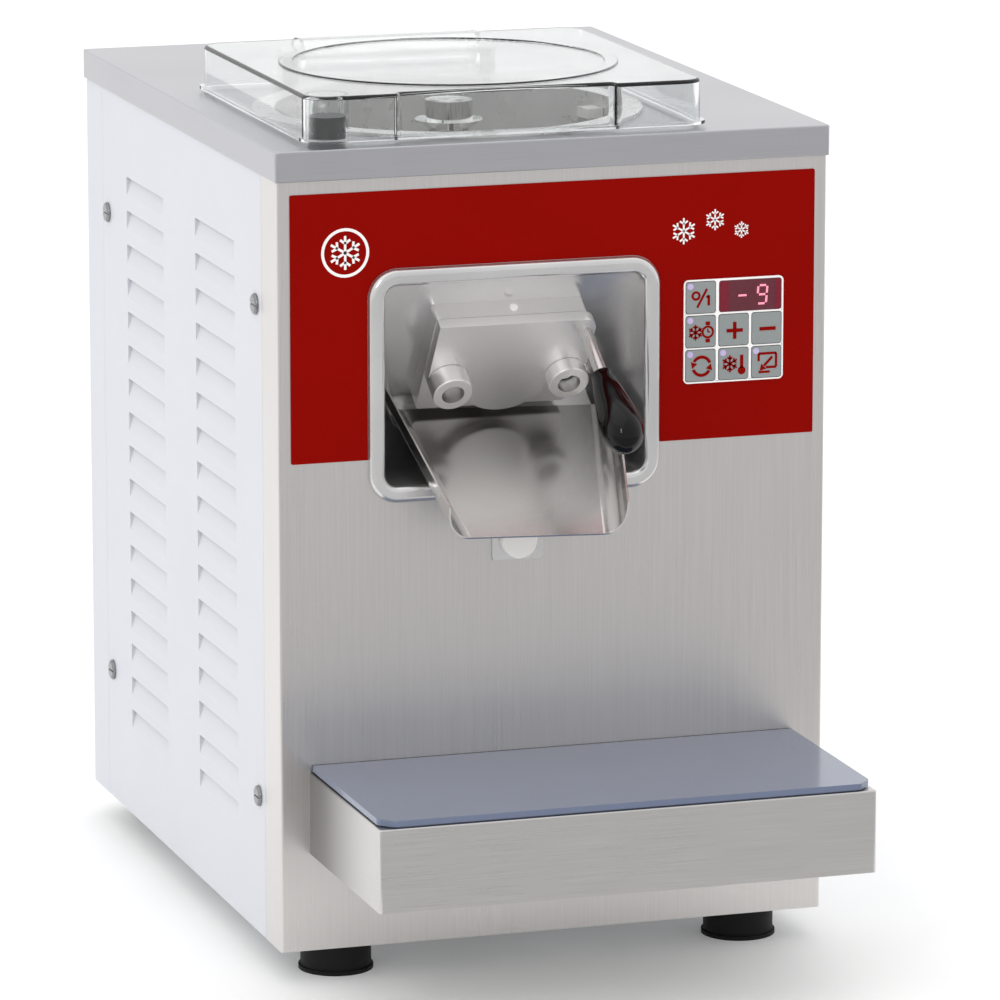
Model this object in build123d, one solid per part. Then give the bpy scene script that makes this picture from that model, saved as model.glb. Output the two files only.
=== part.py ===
from build123d import *
import math
import os

# Countertop vertical batch freezer: a steel cabinet with a vertical freezing cylinder under a clear
# hinged cover, a sloping outlet door with a lever, a lift-out chute, a drip shelf and a keypad.
# Millimetres. +X is the machine's left-to-right seen from the front, -Y is the front, +Z is up.
# The origin is on the surface that the machine stands on, at the middle of its overall box.

# ---------------------------------------------------------------- driving dimensions
BODY_W = 347.0          # cabinet width over the side panels
BODY_D = 450.0          # cabinet depth, front panel to rear panel
CASE_H = 488.5          # cabinet height above the feet, without the top cover
SHEET = 1.2             # cabinet steel thickness
GAP = 0.3               # clearance between neighbouring sheets and covers
FIT = 0.05              # radial running clearance of pins and shafts

FOOT_H = 20.0
FOOT_R = 21.7
FOOT_RIM = 1.3
FOOT_INSET_X = 43.0
FOOT_INSET_FRONT = 30.0
FOOT_INSET_REAR = 40.0

LID_OVER_SIDE = 1.5     # top cover overhang over the side panels
LID_OVER_FRONT = 2.0    # top cover overhang at the front and the rear
LID_LIP = 18.5          # height of the top cover's turned-down lip

RETURN_FRONT = 33.5     # depth of the front panel's side returns
RETURN_REAR = 41.0      # depth of the rear panel's side returns
PANEL_T = 1.0           # side panel thickness
PANEL_CORNER_R = 7.0
POST_FLANGE_SIDE = 56.0
POST_FLANGE_FACE = 24.0
POST_T = 1.5

SCREW_HEAD_R = 6.5
SCREW_HEAD_H = 2.4
SCREW_SHANK_R = 2.0
SCREW_SHANK_L = 7.0
SCREW_INSET = 12.5      # screw to side panel edge
SCREW_LOW = 87.0        # lower screws above the cabinet bottom
SCREW_HIGH = 391.0

LOUVRE_L = 90.0
LOUVRE_H = 12.0
LOUVRE_DEPTH = 4.0
LOUVRE_PITCH = 21.9
LOUVRE_ROWS = 17
LOUVRE_TOP = 421.5      # top edge of the first louvre above the cabinet bottom
LOUVRE_FRONT = 93.5     # front louvre column behind the front panel
LOUVRE_COLUMN = 165.5   # pitch of the two columns

FASCIA_W = 331.0
FASCIA_LOW = 301.0
FASCIA_HIGH = 463.5
FASCIA_T = 0.8

SHELF_W = 310.0
SHELF_PROJ = 145.0      # how far the drip shelf stands out of the front panel
SHELF_LOW = 60.5
SHELF_H = 50.5
MAT_T = 4.5
MAT_MARGIN = 1.5
MAT_CORNER = 14.0
MAT_STEP = 0.8          # the mat's foot lifts its rim off the shelf

CYL_X = -25.5           # freezing cylinder axis
CYL_BACK = 132.0        # cylinder axis behind the front panel
CYL_R = 105.0
CYL_WALL = 2.0
CYL_FLOOR = 382.0       # inside floor above the cabinet bottom
CYL_FLOOR_T = 3.0
CYL_FLANGE_R = 119.0
CYL_FLANGE_T = 2.0
SPOUT_BACK = 40.0       # back wall of the outlet spout, in front of the cylinder axis
COIL_R = 4.0
COIL_TURNS = 6
COIL_PITCH = 12.0
FOAM_T = 7.0

RECESS_W = 163.6
RECESS_LOW = 284.0
RECESS_TOP = 406.0
RECESS_CORNER_R = 8.0
BEAD_W = 10.2
BEAD_H = 4.5
RECESS_BACK = 2.4       # depth of the recess at its top edge
OUTLET_X = -23.6        # centre line of the outlet block
OUTLET_SLOPE = 35.0     # the outlet faces this far below the horizontal
BLOCK_LEFT = 50.2       # block edges to each side of the centre line
BLOCK_RIGHT = 45.0
BLOCK_TOP = 17.2        # down the slope from the recess's top edge
BLOCK_BOTTOM = 94.0
BLOCK_T = 12.5
PORT_DOWN = 62.0        # port axis down the slope
PORT_R = 20.0
PORT_WALL = 2.0
GASKET_W = 3.0
GASKET_T = 1.5
DOOR_W = 99.4
DOOR_T = 7.3
DOOR_GAP = 0.2          # door plate to block, and door plate to boss head
DOOR_LOBE_R = 29.0
DOOR_PIVOT_PAD_R = 13.4
DOOR_CORNER_R = 8.0
BOSS_X = 37.2           # pivot and stop bosses to each side of the centre line
BOSS_R = 12.6
BOSS_SHANK_R = 10.0
BOSS_BORE_R = 7.0
PIVOT_HEAD_L = 13.0
STOP_HEAD_L = 9.5
BOSS_FLOOR = 4.0
NOTCH_CLEAR = 0.8
BOSS_SCREW_R = 4.0
BOSS_SCREW_HEAD_R = 6.2
BOSS_SCREW_HEAD_H = 4.0
BOSS_SCREW_L = 14.0
LEVER_X = 42.6
LEVER_DOWN = 24.5
LEVER_R = 4.0
LEVER_FREE_L = 40.0
LEVER_SCREWED_L = 6.0
LEVER_IN_GRIP = 30.0
GRIP_L = 61.5
GRIP_NECK_R = 6.6
GRIP_R = 12.6
GRIP_WIDEST = 39.0

CHUTE_SLOPE = 31.0
CHUTE_RISE = 3.0        # chute floor above the recess floor, at the front panel
CHUTE_OUT = 55.5        # chute length in front of the front panel, along its slope
CHUTE_IN = 60.0
CHUTE_TURN = 2.9        # the loose chute sits turned by this angle about its floor's normal
CHUTE_HALF_FRONT = 54.8
CHUTE_HALF_BACK = 72.6
CHUTE_WALL = 18.0
CHUTE_BEND_R = 12.5
CHUTE_NOSE = 7.0        # front ends of the walls are cut back by this much at the top
CHUTE_T = 1.2
REST_HALF = 64.0        # ledge under the chute's back end
REST_OVERLAP = 9.0
REST_DROP = 7.0         # ledge meets the sloping wall this far below the block
REST_FLANGE = 14.0

DRAWER_X = -24.0
DRAWER_W = 31.0
DRAWER_LOW = 235.0
DRAWER_H = 18.5
DRAWER_L = 145.0
DRAWER_T = 1.5
KNOB_R = 11.0
KNOB_UP = 11.5          # pull's centre above the drawer's floor
KNOB_FLAT = 7.0         # flat on the pull, above its centre
KNOB_L = 6.0

COVER_W = 255.0
COVER_D = 249.0
COVER_H = 29.5
COVER_FRONT = 8.0       # cover behind the front panel
COVER_WALL = 2.5
COVER_LIP = 2.5
COVER_LIP_T = 2.0
COVER_CORNER_R = 14.0
COVER_BAY_W = 134.0
COVER_BAY_DEPTH = 6.0
COVER_RING_R = 104.5
COVER_RING_W = 9.0
COVER_RING_H = 1.0
MAGNET_R = 11.2
MAGNET_H = 13.0
MAGNET_INSET = 16.0
HINGE_AXIS_H = 15.0
HINGE_BACK = 9.0        # hinge axis behind the cover's rear wall
HINGE_BARREL_R = 13.8
HINGE_LUG_W = 118.0
HINGE_PIN_R = 2.5
HINGE_KNUCKLE_W = 10.0
HINGE_KNUCKLE_R = 6.0

KEY_PITCH_X = 21.2
KEY_PITCH_Z = 20.9
KEY_W = 18.8
KEY_H = 19.2
KEY_GAP = 0.35
KEY_T = 3.5
KEY_TRAVEL = 0.4
KEYPAD_X = 113.5
KEYPAD_Z = 367.5        # keypad centre above the cabinet bottom
KEYPAD_BORDER = 1.4
KEYPAD_T = 1.2
KEYPAD_CORNER_R = 3.0

SHAFT_R = 7.5
BEARING_R = 17.5
BEARING_H = 11.0
HOUSING_R = 23.0
HOUSING_FLANGE_R = 31.0
HOUSING_FLANGE_T = 5.0
HOUSING_H = 36.0
DECK_T = 3.0
PULLEY_R = 48.0
MOTOR_PULLEY_R = 20.0
PULLEY_H = 14.0
PULLEY_GROOVE_H = 10.0
PULLEY_GROOVE = 4.0
PULLEY_DROP = 8.0       # driven pulley below the deck
BELT_T = 3.0
BELT_H = 9.0
BELT_CENTRES = 150.0
HUB_R = 14.5
HUB_FLARE_R = 21.0
HUB_TOP = 496.0
DASHER_ARMS = 3
DASHER_ANGLE = 10.0     # first scraper, from +X
DASHER_TOP = 484.0
DASHER_ARM_W = 12.0
DASHER_ARM_H = 10.0
DASHER_BAR_T = 7.0
SCRAPER_T = 4.0
SCRAPER_W = 14.0
SCRAPER_CLEAR = 0.5

GEARBOX_SIDE = 96.0
GEARBOX_H = 42.0
MOTOR_R = 42.0
MOTOR_L = 96.0
MOTOR_SHAFT_R = 7.0
MOTOR_PLATE_T = 3.0
MOTOR_SPACER_R = 5.0

COMPRESSOR_X = 80.0
COMPRESSOR_BACK = 345.0
COMPRESSOR_R = 60.0
COMPRESSOR_H = 150.0
COMPRESSOR_FOOT_H = 14.0
CONDENSER_X = -160.0
CONDENSER_T = 30.0
CONDENSER_W = 200.0
CONDENSER_H = 190.0
CONDENSER_FRONT = 98.0
CONDENSER_FIN_PITCH = 8.0
SHROUD_DEPTH = 20.0
FAN_R = 84.0
FAN_BLADES = 5
FAN_MOTOR_R = 27.0
FAN_MOTOR_L = 36.0
PIPE_R = 4.0
DRIER_R = 11.0
DRIER_L = 70.0
GLAND_R = 10.0
GLAND_PROUD = 12.0
BOARD_T = 1.6

# ---------------------------------------------------------------- places worked out from the sizes
OVERALL_D = SHELF_PROJ + BODY_D + GLAND_PROUD
FRONT = SHELF_PROJ - OVERALL_D / 2          # outer face of the front panel
BACK = FRONT + BODY_D
SIDE = BODY_W / 2
BASE = FOOT_H                               # underside of the cabinet
KEYPAD_W = 2 * KEY_PITCH_X + KEY_W + 2 * KEYPAD_BORDER
KEYPAD_H = 2 * KEY_PITCH_Z + KEY_H + 2 * KEYPAD_BORDER
CASE_TOP = BASE + CASE_H
LID_TOP = CASE_TOP + GAP + SHEET
LID_HALF = SIDE + LID_OVER_SIDE
CYL_Y = FRONT + CYL_BACK
FLOOR_Z = BASE + CYL_FLOOR
UNDER_FLOOR = FLOOR_Z - CYL_FLOOR_T
DECK_Z = UNDER_FLOOR - HOUSING_H - DECK_T
PULLEY_TOP = DECK_Z - PULLEY_DROP
PULLEY_LOW = PULLEY_TOP - PULLEY_H
SLOPE = math.radians(OUTLET_SLOPE)
DOOR_IN = BLOCK_T + DOOR_GAP                # door plate's back face, out from the recess wall
DOOR_OUT = DOOR_IN + DOOR_T
HEAD_IN = DOOR_OUT + DOOR_GAP
CHUTE_A = math.radians(CHUTE_SLOPE)

# Outlet frame: X across, Y up the sloping recess wall, Z out of the wall towards the operator.
outlet = Plane(
    origin=(OUTLET_X, FRONT + RECESS_BACK, BASE + RECESS_TOP - 1.0),
    x_dir=(1, 0, 0),
    z_dir=(0, -math.cos(SLOPE), -math.sin(SLOPE)),
)
# Chute frame: X across, Y back and up the chute floor, Z off the floor.
chute_frame = Plane(
    origin=(OUTLET_X, FRONT, BASE + RECESS_LOW + CHUTE_RISE),
    x_dir=(1, 0, 0),
    z_dir=(0, -math.sin(CHUTE_A), math.cos(CHUTE_A)),
)
chute_place = chute_frame.location * Rot(0, 0, -CHUTE_TURN)

BOTTOM = (Align.CENTER, Align.CENTER, Align.MIN)


# ---------------------------------------------------------------- shape helpers
def slab(x, y, z):
    """Block between two limits along each axis."""
    middle = Pos((x[0] + x[1]) / 2, (y[0] + y[1]) / 2, (z[0] + z[1]) / 2)
    return middle * Box(x[1] - x[0], y[1] - y[0], z[1] - z[0])


def rod(start, direction, radius, length):
    """Cylinder that starts at a point and runs along a direction."""
    return Plane(origin=start, z_dir=direction).location * Cylinder(radius, length, align=BOTTOM)


def post(x, y, z, radius, height):
    """Upright cylinder."""
    return Pos(x, y, z) * Cylinder(radius, height, align=BOTTOM)


def plate_y(w, h, r, x, z, y, depth):
    """Upright plate facing the front, with rounded corners, from y back to y + depth."""
    outline = RectangleRounded(w, h, r) if r else Rectangle(w, h)
    return Pos(x, y + depth, z) * Rot(90, 0, 0) * extrude(outline, depth)


def prism_x(points, x0, x1):
    """Side profile in Y and Z, drawn out along X."""
    face = make_face(Polyline(*points, close=True))
    return Pos(x0, 0, 0) * Plane.YZ.location * extrude(face, x1 - x0, dir=(0, 0, 1))


def around(count, start, make):
    """Copies of a shape turned about the Z axis."""
    return [Rot(0, 0, start + 360 / count * i) * make for i in range(count)]


def save(name, *shapes):
    """Write one node; separate solids stay separate."""
    solids = [solid for shape in shapes for solid in shape.solids()]
    export_step(solids[0] if len(solids) == 1 else Compound(solids), f"parts/{name}.step")


# ---------------------------------------------------------------- cabinet
def base_tray():
    """Base tray with a turned-up rim, air slots and a hole over each foot."""
    inner = SIDE - SHEET - GAP
    front, back = FRONT + SHEET + GAP, BACK - SHEET - GAP
    rim = 18.0
    tray = slab((-inner, inner), (front, back), (BASE, BASE + rim))
    tray -= slab((-inner + POST_T, inner - POST_T), (front + POST_T, back - POST_T), (BASE + POST_T, BASE + rim))
    slots = [
        slab((-60, 60), (FRONT + 90 + 16 * i, FRONT + 96 + 16 * i), (BASE, BASE + POST_T)) for i in range(8)
    ]
    holes = [post(x, y, BASE, SCREW_SHANK_R + 1, POST_T) for x, y in foot_places()]
    return tray - slots - holes


def foot_places():
    x = SIDE - FOOT_INSET_X
    return [(sx * x, y) for sx in (-1, 1) for y in (FRONT + FOOT_INSET_FRONT, BACK - FOOT_INSET_REAR)]


def feet():
    """Rubber feet with a small flared rim at the floor and a threaded stud into the base tray."""
    shapes = []
    for x, y in foot_places():
        foot = post(x, y, 0, FOOT_R, FOOT_H) + post(x, y, 0, FOOT_R + FOOT_RIM, 2.5)
        top = foot.edges().filter_by(GeomType.CIRCLE).sort_by(Axis.Z)[-1]
        foot = fillet(top, 1.5)
        shapes.append(foot + post(x, y, FOOT_H, SCREW_SHANK_R + 0.9, 8))
    return shapes


def post_z():
    return BASE + POST_T, CASE_TOP - 4


def frame_posts():
    """Four corner angles that carry the panels."""
    z = post_z()
    face = SIDE - SHEET - GAP
    shapes = []
    for side in (-1, 1):
        for y_face, way in ((FRONT + SHEET + GAP, 1), (BACK - SHEET - GAP, -1)):
            y_face += way * (POST_T + GAP)
            x_face = side * (face - POST_T - GAP)
            x_in = x_face - side * POST_T
            flange = slab(
                sorted((x_face, x_in)), sorted((y_face, y_face + way * POST_FLANGE_SIDE)), z
            )
            flange += slab(
                sorted((x_face, x_face - side * POST_FLANGE_FACE)), sorted((y_face, y_face + way * POST_T)), z
            )
            for _, y, height in screw_places(side):
                flange -= rod((x_face + side, y, height), (-side, 0, 0), SCREW_SHANK_R + FIT, POST_T + 2)
            shapes.append(flange)
    return shapes


def panel_y():
    return FRONT + RETURN_FRONT + GAP, BACK - RETURN_REAR - GAP


def screw_places(side):
    front, back = panel_y()
    return [
        (side * SIDE, y, BASE + z) for y in (front + SCREW_INSET, back - SCREW_INSET) for z in (SCREW_LOW, SCREW_HIGH)
    ]


def panel_screws():
    """Pan-head screws with a slot, holding the side panels to the posts."""
    shapes = []
    for side in (-1, 1):
        for x, y, z in screw_places(side):
            head = rod((x, y, z), (side, 0, 0), SCREW_HEAD_R, SCREW_HEAD_H)
            rim = head.edges().filter_by(GeomType.CIRCLE).sort_by(Axis.X)[-1 if side > 0 else 0]
            head = fillet(rim, SCREW_HEAD_H * 0.7)
            out = x + side * SCREW_HEAD_H
            head -= slab(sorted((out, out - side * 0.9)), (y - SCREW_HEAD_R, y + SCREW_HEAD_R), (z - 0.6, z + 0.6))
            shapes.append(head + rod((x, y, z), (-side, 0, 0), SCREW_SHANK_R, SCREW_SHANK_L))
    return shapes


def louvre(side):
    """One pressed louvre: the sheet slopes inwards from its foot to an open slit at its top edge."""
    deep, wall = side * LOUVRE_DEPTH, PANEL_T * 0.8
    back = [(0, -wall), (-side * PANEL_T, -wall), (-deep, LOUVRE_H), (0, LOUVRE_H)]
    scoop = extrude(make_face(Polyline(*back, close=True)), LOUVRE_L + 2 * wall, dir=(0, 0, 1))
    front = [(0, 0), (side * wall - deep, LOUVRE_H), (0, LOUVRE_H)]
    hollow = Pos(0, 0, wall) * extrude(make_face(Polyline(*front, close=True)), LOUVRE_L, dir=(0, 0, 1))
    # drawn with local X along machine X and local Y up, then laid out towards the front
    return Plane.XZ.location * Pos(0, 0, -wall) * (scoop - hollow)


def louvre_places():
    first = BASE + LOUVRE_TOP - LOUVRE_H
    for column in range(2):
        back = FRONT + LOUVRE_FRONT + LOUVRE_L + LOUVRE_COLUMN * column
        for row in range(LOUVRE_ROWS):
            yield back, first - LOUVRE_PITCH * row


def side_panel(side):
    """White side panel with two columns of pressed louvres."""
    front, back = panel_y()
    low, high = BASE + GAP, CASE_TOP
    panel = slab(sorted((side * SIDE, side * (SIDE - PANEL_T))), (front, back), (low, high))
    corners = panel.edges().filter_by(Axis.X)
    top_corners = corners.group_by(Axis.Z)[-1]
    panel = fillet(top_corners, PANEL_CORNER_R)
    for x, y, z in screw_places(side):
        panel -= rod((x + side, y, z), (-side, 0, 0), SCREW_SHANK_R + FIT, PANEL_T + 2)
    cuts, scoops = [], []
    one = louvre(side)
    for y, z in louvre_places():
        x = sorted((side * SIDE, side * (SIDE - PANEL_T)))
        cuts.append(slab(x, (y - LOUVRE_L, y), (z, z + LOUVRE_H)))
        scoops.append(Pos(side * SIDE, y, z) * one)
    return panel - cuts + scoops


def recess_box(grow):
    """Wedge-shaped space of the recess: upright mouth, flat floor and sloping back wall."""
    top = BASE + RECESS_TOP + grow
    low = BASE + RECESS_LOW - grow
    run = math.tan(SLOPE)
    wall_y = FRONT + RECESS_BACK + grow / math.cos(SLOPE)
    top_y = wall_y - (top - (BASE + RECESS_TOP - 1.0)) * run
    low_y = wall_y + (BASE + RECESS_TOP - 1.0 - low) * run
    front = FRONT - BEAD_H
    half = RECESS_W / 2 + grow
    return prism_x([(front, top), (top_y, top), (low_y, low), (front, low)], CYL_X - half, CYL_X + half)


def recess_mouth(grow, y, depth):
    width, height = RECESS_W + 2 * grow, RECESS_TOP - RECESS_LOW + 2 * grow
    middle = BASE + (RECESS_TOP + RECESS_LOW) / 2
    return plate_y(width, height, RECESS_CORNER_R + grow, CYL_X, middle, y, depth)


def outlet_recess():
    """Pressed steel recess with a rounded bead around its mouth and a hole for the port."""
    reach = 200.0
    shell = recess_box(SHEET) & recess_mouth(SHEET, FRONT - BEAD_H, reach)
    bead = recess_mouth(BEAD_W, FRONT - BEAD_H, BEAD_H)
    rim = bead.faces().sort_by(Axis.Y)[0].edges()
    bead = fillet(rim, BEAD_H * 0.85)
    shell = shell + bead
    shell -= recess_box(0) & recess_mouth(0, FRONT - BEAD_H - 1, reach)
    lip = shell.faces().sort_by(Axis.Y)[0].inner_wires()
    shell = fillet(lip[0].edges(), BEAD_H * 0.75) if lip else shell
    shell -= outlet.location * Pos(0, -PORT_DOWN, -3) * Cylinder(PORT_R + PORT_WALL + FIT, 6, align=BOTTOM)
    return shell


def keypad_window(y, depth):
    margin = 1.8
    return plate_y(KEYPAD_W - margin, KEYPAD_H - margin, 1.0, KEYPAD_X, BASE + KEYPAD_Z, y, depth)


def drawer_mouth(y, depth, grow):
    middle = BASE + DRAWER_LOW + DRAWER_H / 2
    return plate_y(DRAWER_W + 2 * grow, DRAWER_H + 2 * grow, 0, DRAWER_X, middle, y, depth)


def front_panel():
    """Brushed steel front with side returns, the recess opening, keypad window and drawer mouth."""
    panel = slab((-SIDE, SIDE), (FRONT, FRONT + RETURN_FRONT), (BASE, CASE_TOP))
    corners = panel.edges().filter_by(Axis.Z).group_by(Axis.Y)[0]
    panel = fillet(corners, 1.8)
    inside = slab((-SIDE + SHEET, SIDE - SHEET), (FRONT + SHEET, FRONT + RETURN_FRONT), (BASE, CASE_TOP))
    panel -= inside
    panel -= recess_mouth(SHEET + GAP, FRONT - 1, SHEET + 2)
    panel -= keypad_window(FRONT - 1, SHEET + 2)
    panel -= drawer_mouth(FRONT - 1, SHEET + 2, GAP)
    return panel


def rear_panel():
    """Brushed steel back with side returns, air slots and the cable entry."""
    panel = slab((-SIDE, SIDE), (BACK - RETURN_REAR, BACK), (BASE, CASE_TOP))
    corners = panel.edges().filter_by(Axis.Z).group_by(Axis.Y)[-1]
    panel = fillet(corners, 1.8)
    panel -= slab((-SIDE + SHEET, SIDE - SHEET), (BACK - RETURN_REAR, BACK - SHEET), (BASE, CASE_TOP))
    slots = []
    for column in (-1, 1):
        for row in range(12):
            z = BASE + 130 + 18 * row
            slots.append(plate_y(100, 5, 2.4, column * 70, z, BACK - SHEET, SHEET))
    panel -= slots
    return panel - rod(gland_place(), (0, 1, 0), GLAND_R - 2 + FIT, 40)


def gland_place():
    return (-SIDE + 55, BACK - 20, BASE + 55)


def cable_gland():
    """Threaded gland in the rear panel: hexagon nut outside, thread and lock nut inside."""
    x, _, z = gland_place()
    nut = Pos(x, BACK, z) * Rot(-90, 0, 0) * extrude(RegularPolygon(GLAND_R, 6, major_radius=False), 5)
    dome = rod((x, BACK + 5, z), (0, 1, 0), GLAND_R - 2, GLAND_PROUD - 5)
    dome = fillet(dome.edges().filter_by(GeomType.CIRCLE).sort_by(Axis.Y)[-1], 3)
    thread = rod((x, BACK - 12, z), (0, 1, 0), GLAND_R - 2, 12)
    lock = Pos(x, BACK - SHEET - 4, z) * Rot(-90, 0, 0)
    lock = lock * extrude(RegularPolygon(GLAND_R, 6, major_radius=False), 4)
    bore = rod((x, BACK - 20, z), (0, 1, 0), 4.0, 40)
    return nut + dome + thread + lock - bore


def top_cover():
    """Folded steel top with a turned-down lip and the mouth of the cylinder."""
    front, back = FRONT - LID_OVER_FRONT, BACK + LID_OVER_FRONT
    cover = slab((-LID_HALF, LID_HALF), (front, back), (LID_TOP - LID_LIP, LID_TOP))
    cover = fillet(cover.edges().filter_by(Axis.Z), 2.5)
    cover = fillet(cover.faces().sort_by(Axis.Z)[-1].edges(), 1.0)
    inside = slab(
        (-LID_HALF + SHEET, LID_HALF - SHEET), (front + SHEET, back - SHEET), (LID_TOP - LID_LIP, LID_TOP - SHEET)
    )
    cover -= inside
    return cover - post(CYL_X, CYL_Y, LID_TOP - LID_LIP, CYL_R + CYL_WALL + GAP, LID_LIP)


def fascia_panel():
    """Thin coloured panel on the front, cut out around the recess bead and the keypad."""
    middle = BASE + (FASCIA_LOW + FASCIA_HIGH) / 2
    height = FASCIA_HIGH - FASCIA_LOW
    panel = plate_y(FASCIA_W, height, 1.0, 0, middle, FRONT - FASCIA_T, FASCIA_T)
    panel -= recess_mouth(BEAD_W + GAP, FRONT - 2, 4)
    panel -= slab((-SIDE, CYL_X + RECESS_W / 4), (FRONT - 2, FRONT + 2), (BASE, BASE + FASCIA_LOW))
    return panel - keypad_window(FRONT - 2, 4)


# ---------------------------------------------------------------- shelf, mat, drawer
def shelf_z():
    return BASE + SHELF_LOW, BASE + SHELF_LOW + SHELF_H


def shelf():
    """Folded steel drip shelf, open underneath, with a fixing flange at the back."""
    half = SHELF_W / 2
    low, high = shelf_z()
    front = FRONT - SHELF_PROJ
    box = slab((-half, half), (front, FRONT), (low, high))
    box = fillet(box.edges().filter_by(Axis.Z).group_by(Axis.Y)[0], 1.8)
    box = fillet(box.faces().sort_by(Axis.Z)[-1].edges().sort_by(Axis.Y)[0], 1.0)
    inside = slab((-half + SHEET, half - SHEET), (front + SHEET, FRONT - SHEET), (low, high - SHEET))
    window = slab((-half + 20, half - 20), (FRONT - SHEET, FRONT), (low + 14, high - 14))
    return box - inside - window


def mat():
    """Loose drip mat with cut front corners; its foot is set in under the rim."""
    half = SHELF_W / 2 - MAT_MARGIN
    front, back = FRONT - SHELF_PROJ + MAT_MARGIN, FRONT - 1.0
    base = shelf_z()[1]

    def outline(inset, cut):
        x, f, b = half - inset, front + inset, back - inset
        points = [(-x, b), (-x, f + cut), (-x + cut, f), (x - cut, f), (x, f + cut), (x, b)]
        return make_face(Polyline(*points, close=True))

    top = Pos(0, 0, base + MAT_STEP) * extrude(outline(0, MAT_CORNER * 0.6), MAT_T - MAT_STEP, dir=(0, 0, 1))
    front_corners = top.edges().filter_by(Axis.Z).group_by(Axis.Y)[:2]
    top = fillet(front_corners[0] + front_corners[1], 5.0)
    foot = Pos(0, 0, base) * extrude(outline(2.0, MAT_CORNER * 0.6), MAT_STEP, dir=(0, 0, 1))
    return top + foot


def leak_drawer():
    """Narrow tray that catches what leaks past the shaft seal."""
    low = BASE + DRAWER_LOW
    half = DRAWER_W / 2
    box = slab((-half, half), (FRONT, FRONT + DRAWER_L), (low, low + DRAWER_H))
    hollow = slab((-half + DRAWER_T, half - DRAWER_T), (FRONT + DRAWER_T, FRONT + DRAWER_L - DRAWER_T),
                  (low + DRAWER_T, low + DRAWER_H))
    box = fillet(box.edges().filter_by(Axis.Y).group_by(Axis.Z)[0], 2.0) - hollow
    plate = plate_y(DRAWER_W + 1, DRAWER_H + 1, 2.0, 0, low + DRAWER_H / 2, FRONT - 1.6, 1.5)
    neck = slab((-half + 2, half - 2), (FRONT - 0.1, FRONT), (low + 2, low + DRAWER_H - 2))
    return Pos(DRAWER_X, 0, 0) * (box + plate + neck)


def drawer_knob():
    """Translucent pull on the drawer's front: a disc with a flat on top, so that it passes under the chute."""
    z = BASE + DRAWER_LOW + KNOB_UP
    knob = rod((DRAWER_X, FRONT - 1.6 - KNOB_L, z), (0, 1, 0), KNOB_R, KNOB_L)
    top = (z + KNOB_FLAT, z + KNOB_R + 1)
    knob -= slab((DRAWER_X - KNOB_R, DRAWER_X + KNOB_R), (FRONT - KNOB_L - 3, FRONT), top)
    return fillet(knob.faces().sort_by(Axis.Y)[0].edges(), 1.5)


def drawer_guide():
    """Sheet channel behind the drawer mouth that carries the drawer."""
    wall = 1.0
    low = BASE + DRAWER_LOW - GAP
    half = DRAWER_W / 2 + GAP
    start, end = FRONT + SHEET, FRONT + DRAWER_L + 10
    outer = slab((-half - wall, half + wall), (start, end), (low - wall, low + DRAWER_H))
    inner = slab((-half, half), (start, end - wall), (low, low + DRAWER_H))
    return Pos(DRAWER_X, 0, 0) * (outer - inner)


# ---------------------------------------------------------------- cylinder and outlet
def port_start():
    return (outlet.location * Pos(0, -PORT_DOWN, 0)).position


def freezing_cylinder():
    """Open steel cylinder with a top flange and a sloping spout from its floor to the outlet."""
    outer_r = CYL_R + CYL_WALL
    top = LID_TOP + CYL_FLANGE_T
    body = post(CYL_X, CYL_Y, UNDER_FLOOR, outer_r, top - UNDER_FLOOR)
    body += post(CYL_X, CYL_Y, LID_TOP, CYL_FLANGE_R, CYL_FLANGE_T)
    inside = post(CYL_X, CYL_Y, FLOOR_Z, CYL_R, top - FLOOR_Z)
    inward = (0, math.cos(SLOPE), math.sin(SLOPE))
    start = port_start()
    limit = CYL_Y - SPOUT_BACK
    spout = rod(start, inward, PORT_R + PORT_WALL, 140)
    spout &= slab((-SIDE, SIDE), (FRONT, limit), (BASE, UNDER_FLOOR))
    passage = rod(start, inward, PORT_R, 140)
    passage &= slab((-SIDE, SIDE), (FRONT, limit - PORT_WALL), (BASE, FLOOR_Z))
    back_step = (0, -math.cos(SLOPE), -math.sin(SLOPE))
    passage += rod(start, back_step, PORT_R, 2)
    body = body - inside + spout - passage
    return body - post(CYL_X, CYL_Y, UNDER_FLOOR, SHAFT_R + 6.5, CYL_FLOOR_T)


def cylinder_insulation():
    """Foam sleeve around the evaporator coil."""
    inner = CYL_R + CYL_WALL + 2 * COIL_R + 2 * GAP
    low, high = UNDER_FLOOR + 4, CASE_TOP - 4
    sleeve = post(CYL_X, CYL_Y, low, inner + FOAM_T, high - low) - post(CYL_X, CYL_Y, low, inner, high - low)
    inward = (0, math.cos(SLOPE), math.sin(SLOPE))
    return sleeve - recess_box(SHEET + 2 * GAP) - rod(port_start(), inward, PORT_R + PORT_WALL + 2, 140)


def evaporator_coil():
    """Copper tube rings around the cylinder, joined by the feed and the suction tails."""
    ring_r = CYL_R + CYL_WALL + GAP + COIL_R
    rings = []
    for turn in range(COIL_TURNS):
        z = FLOOR_Z + 10 + COIL_PITCH * turn
        rings.append(Pos(CYL_X, CYL_Y, z) * Torus(ring_r, COIL_R))
    return rings


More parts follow.
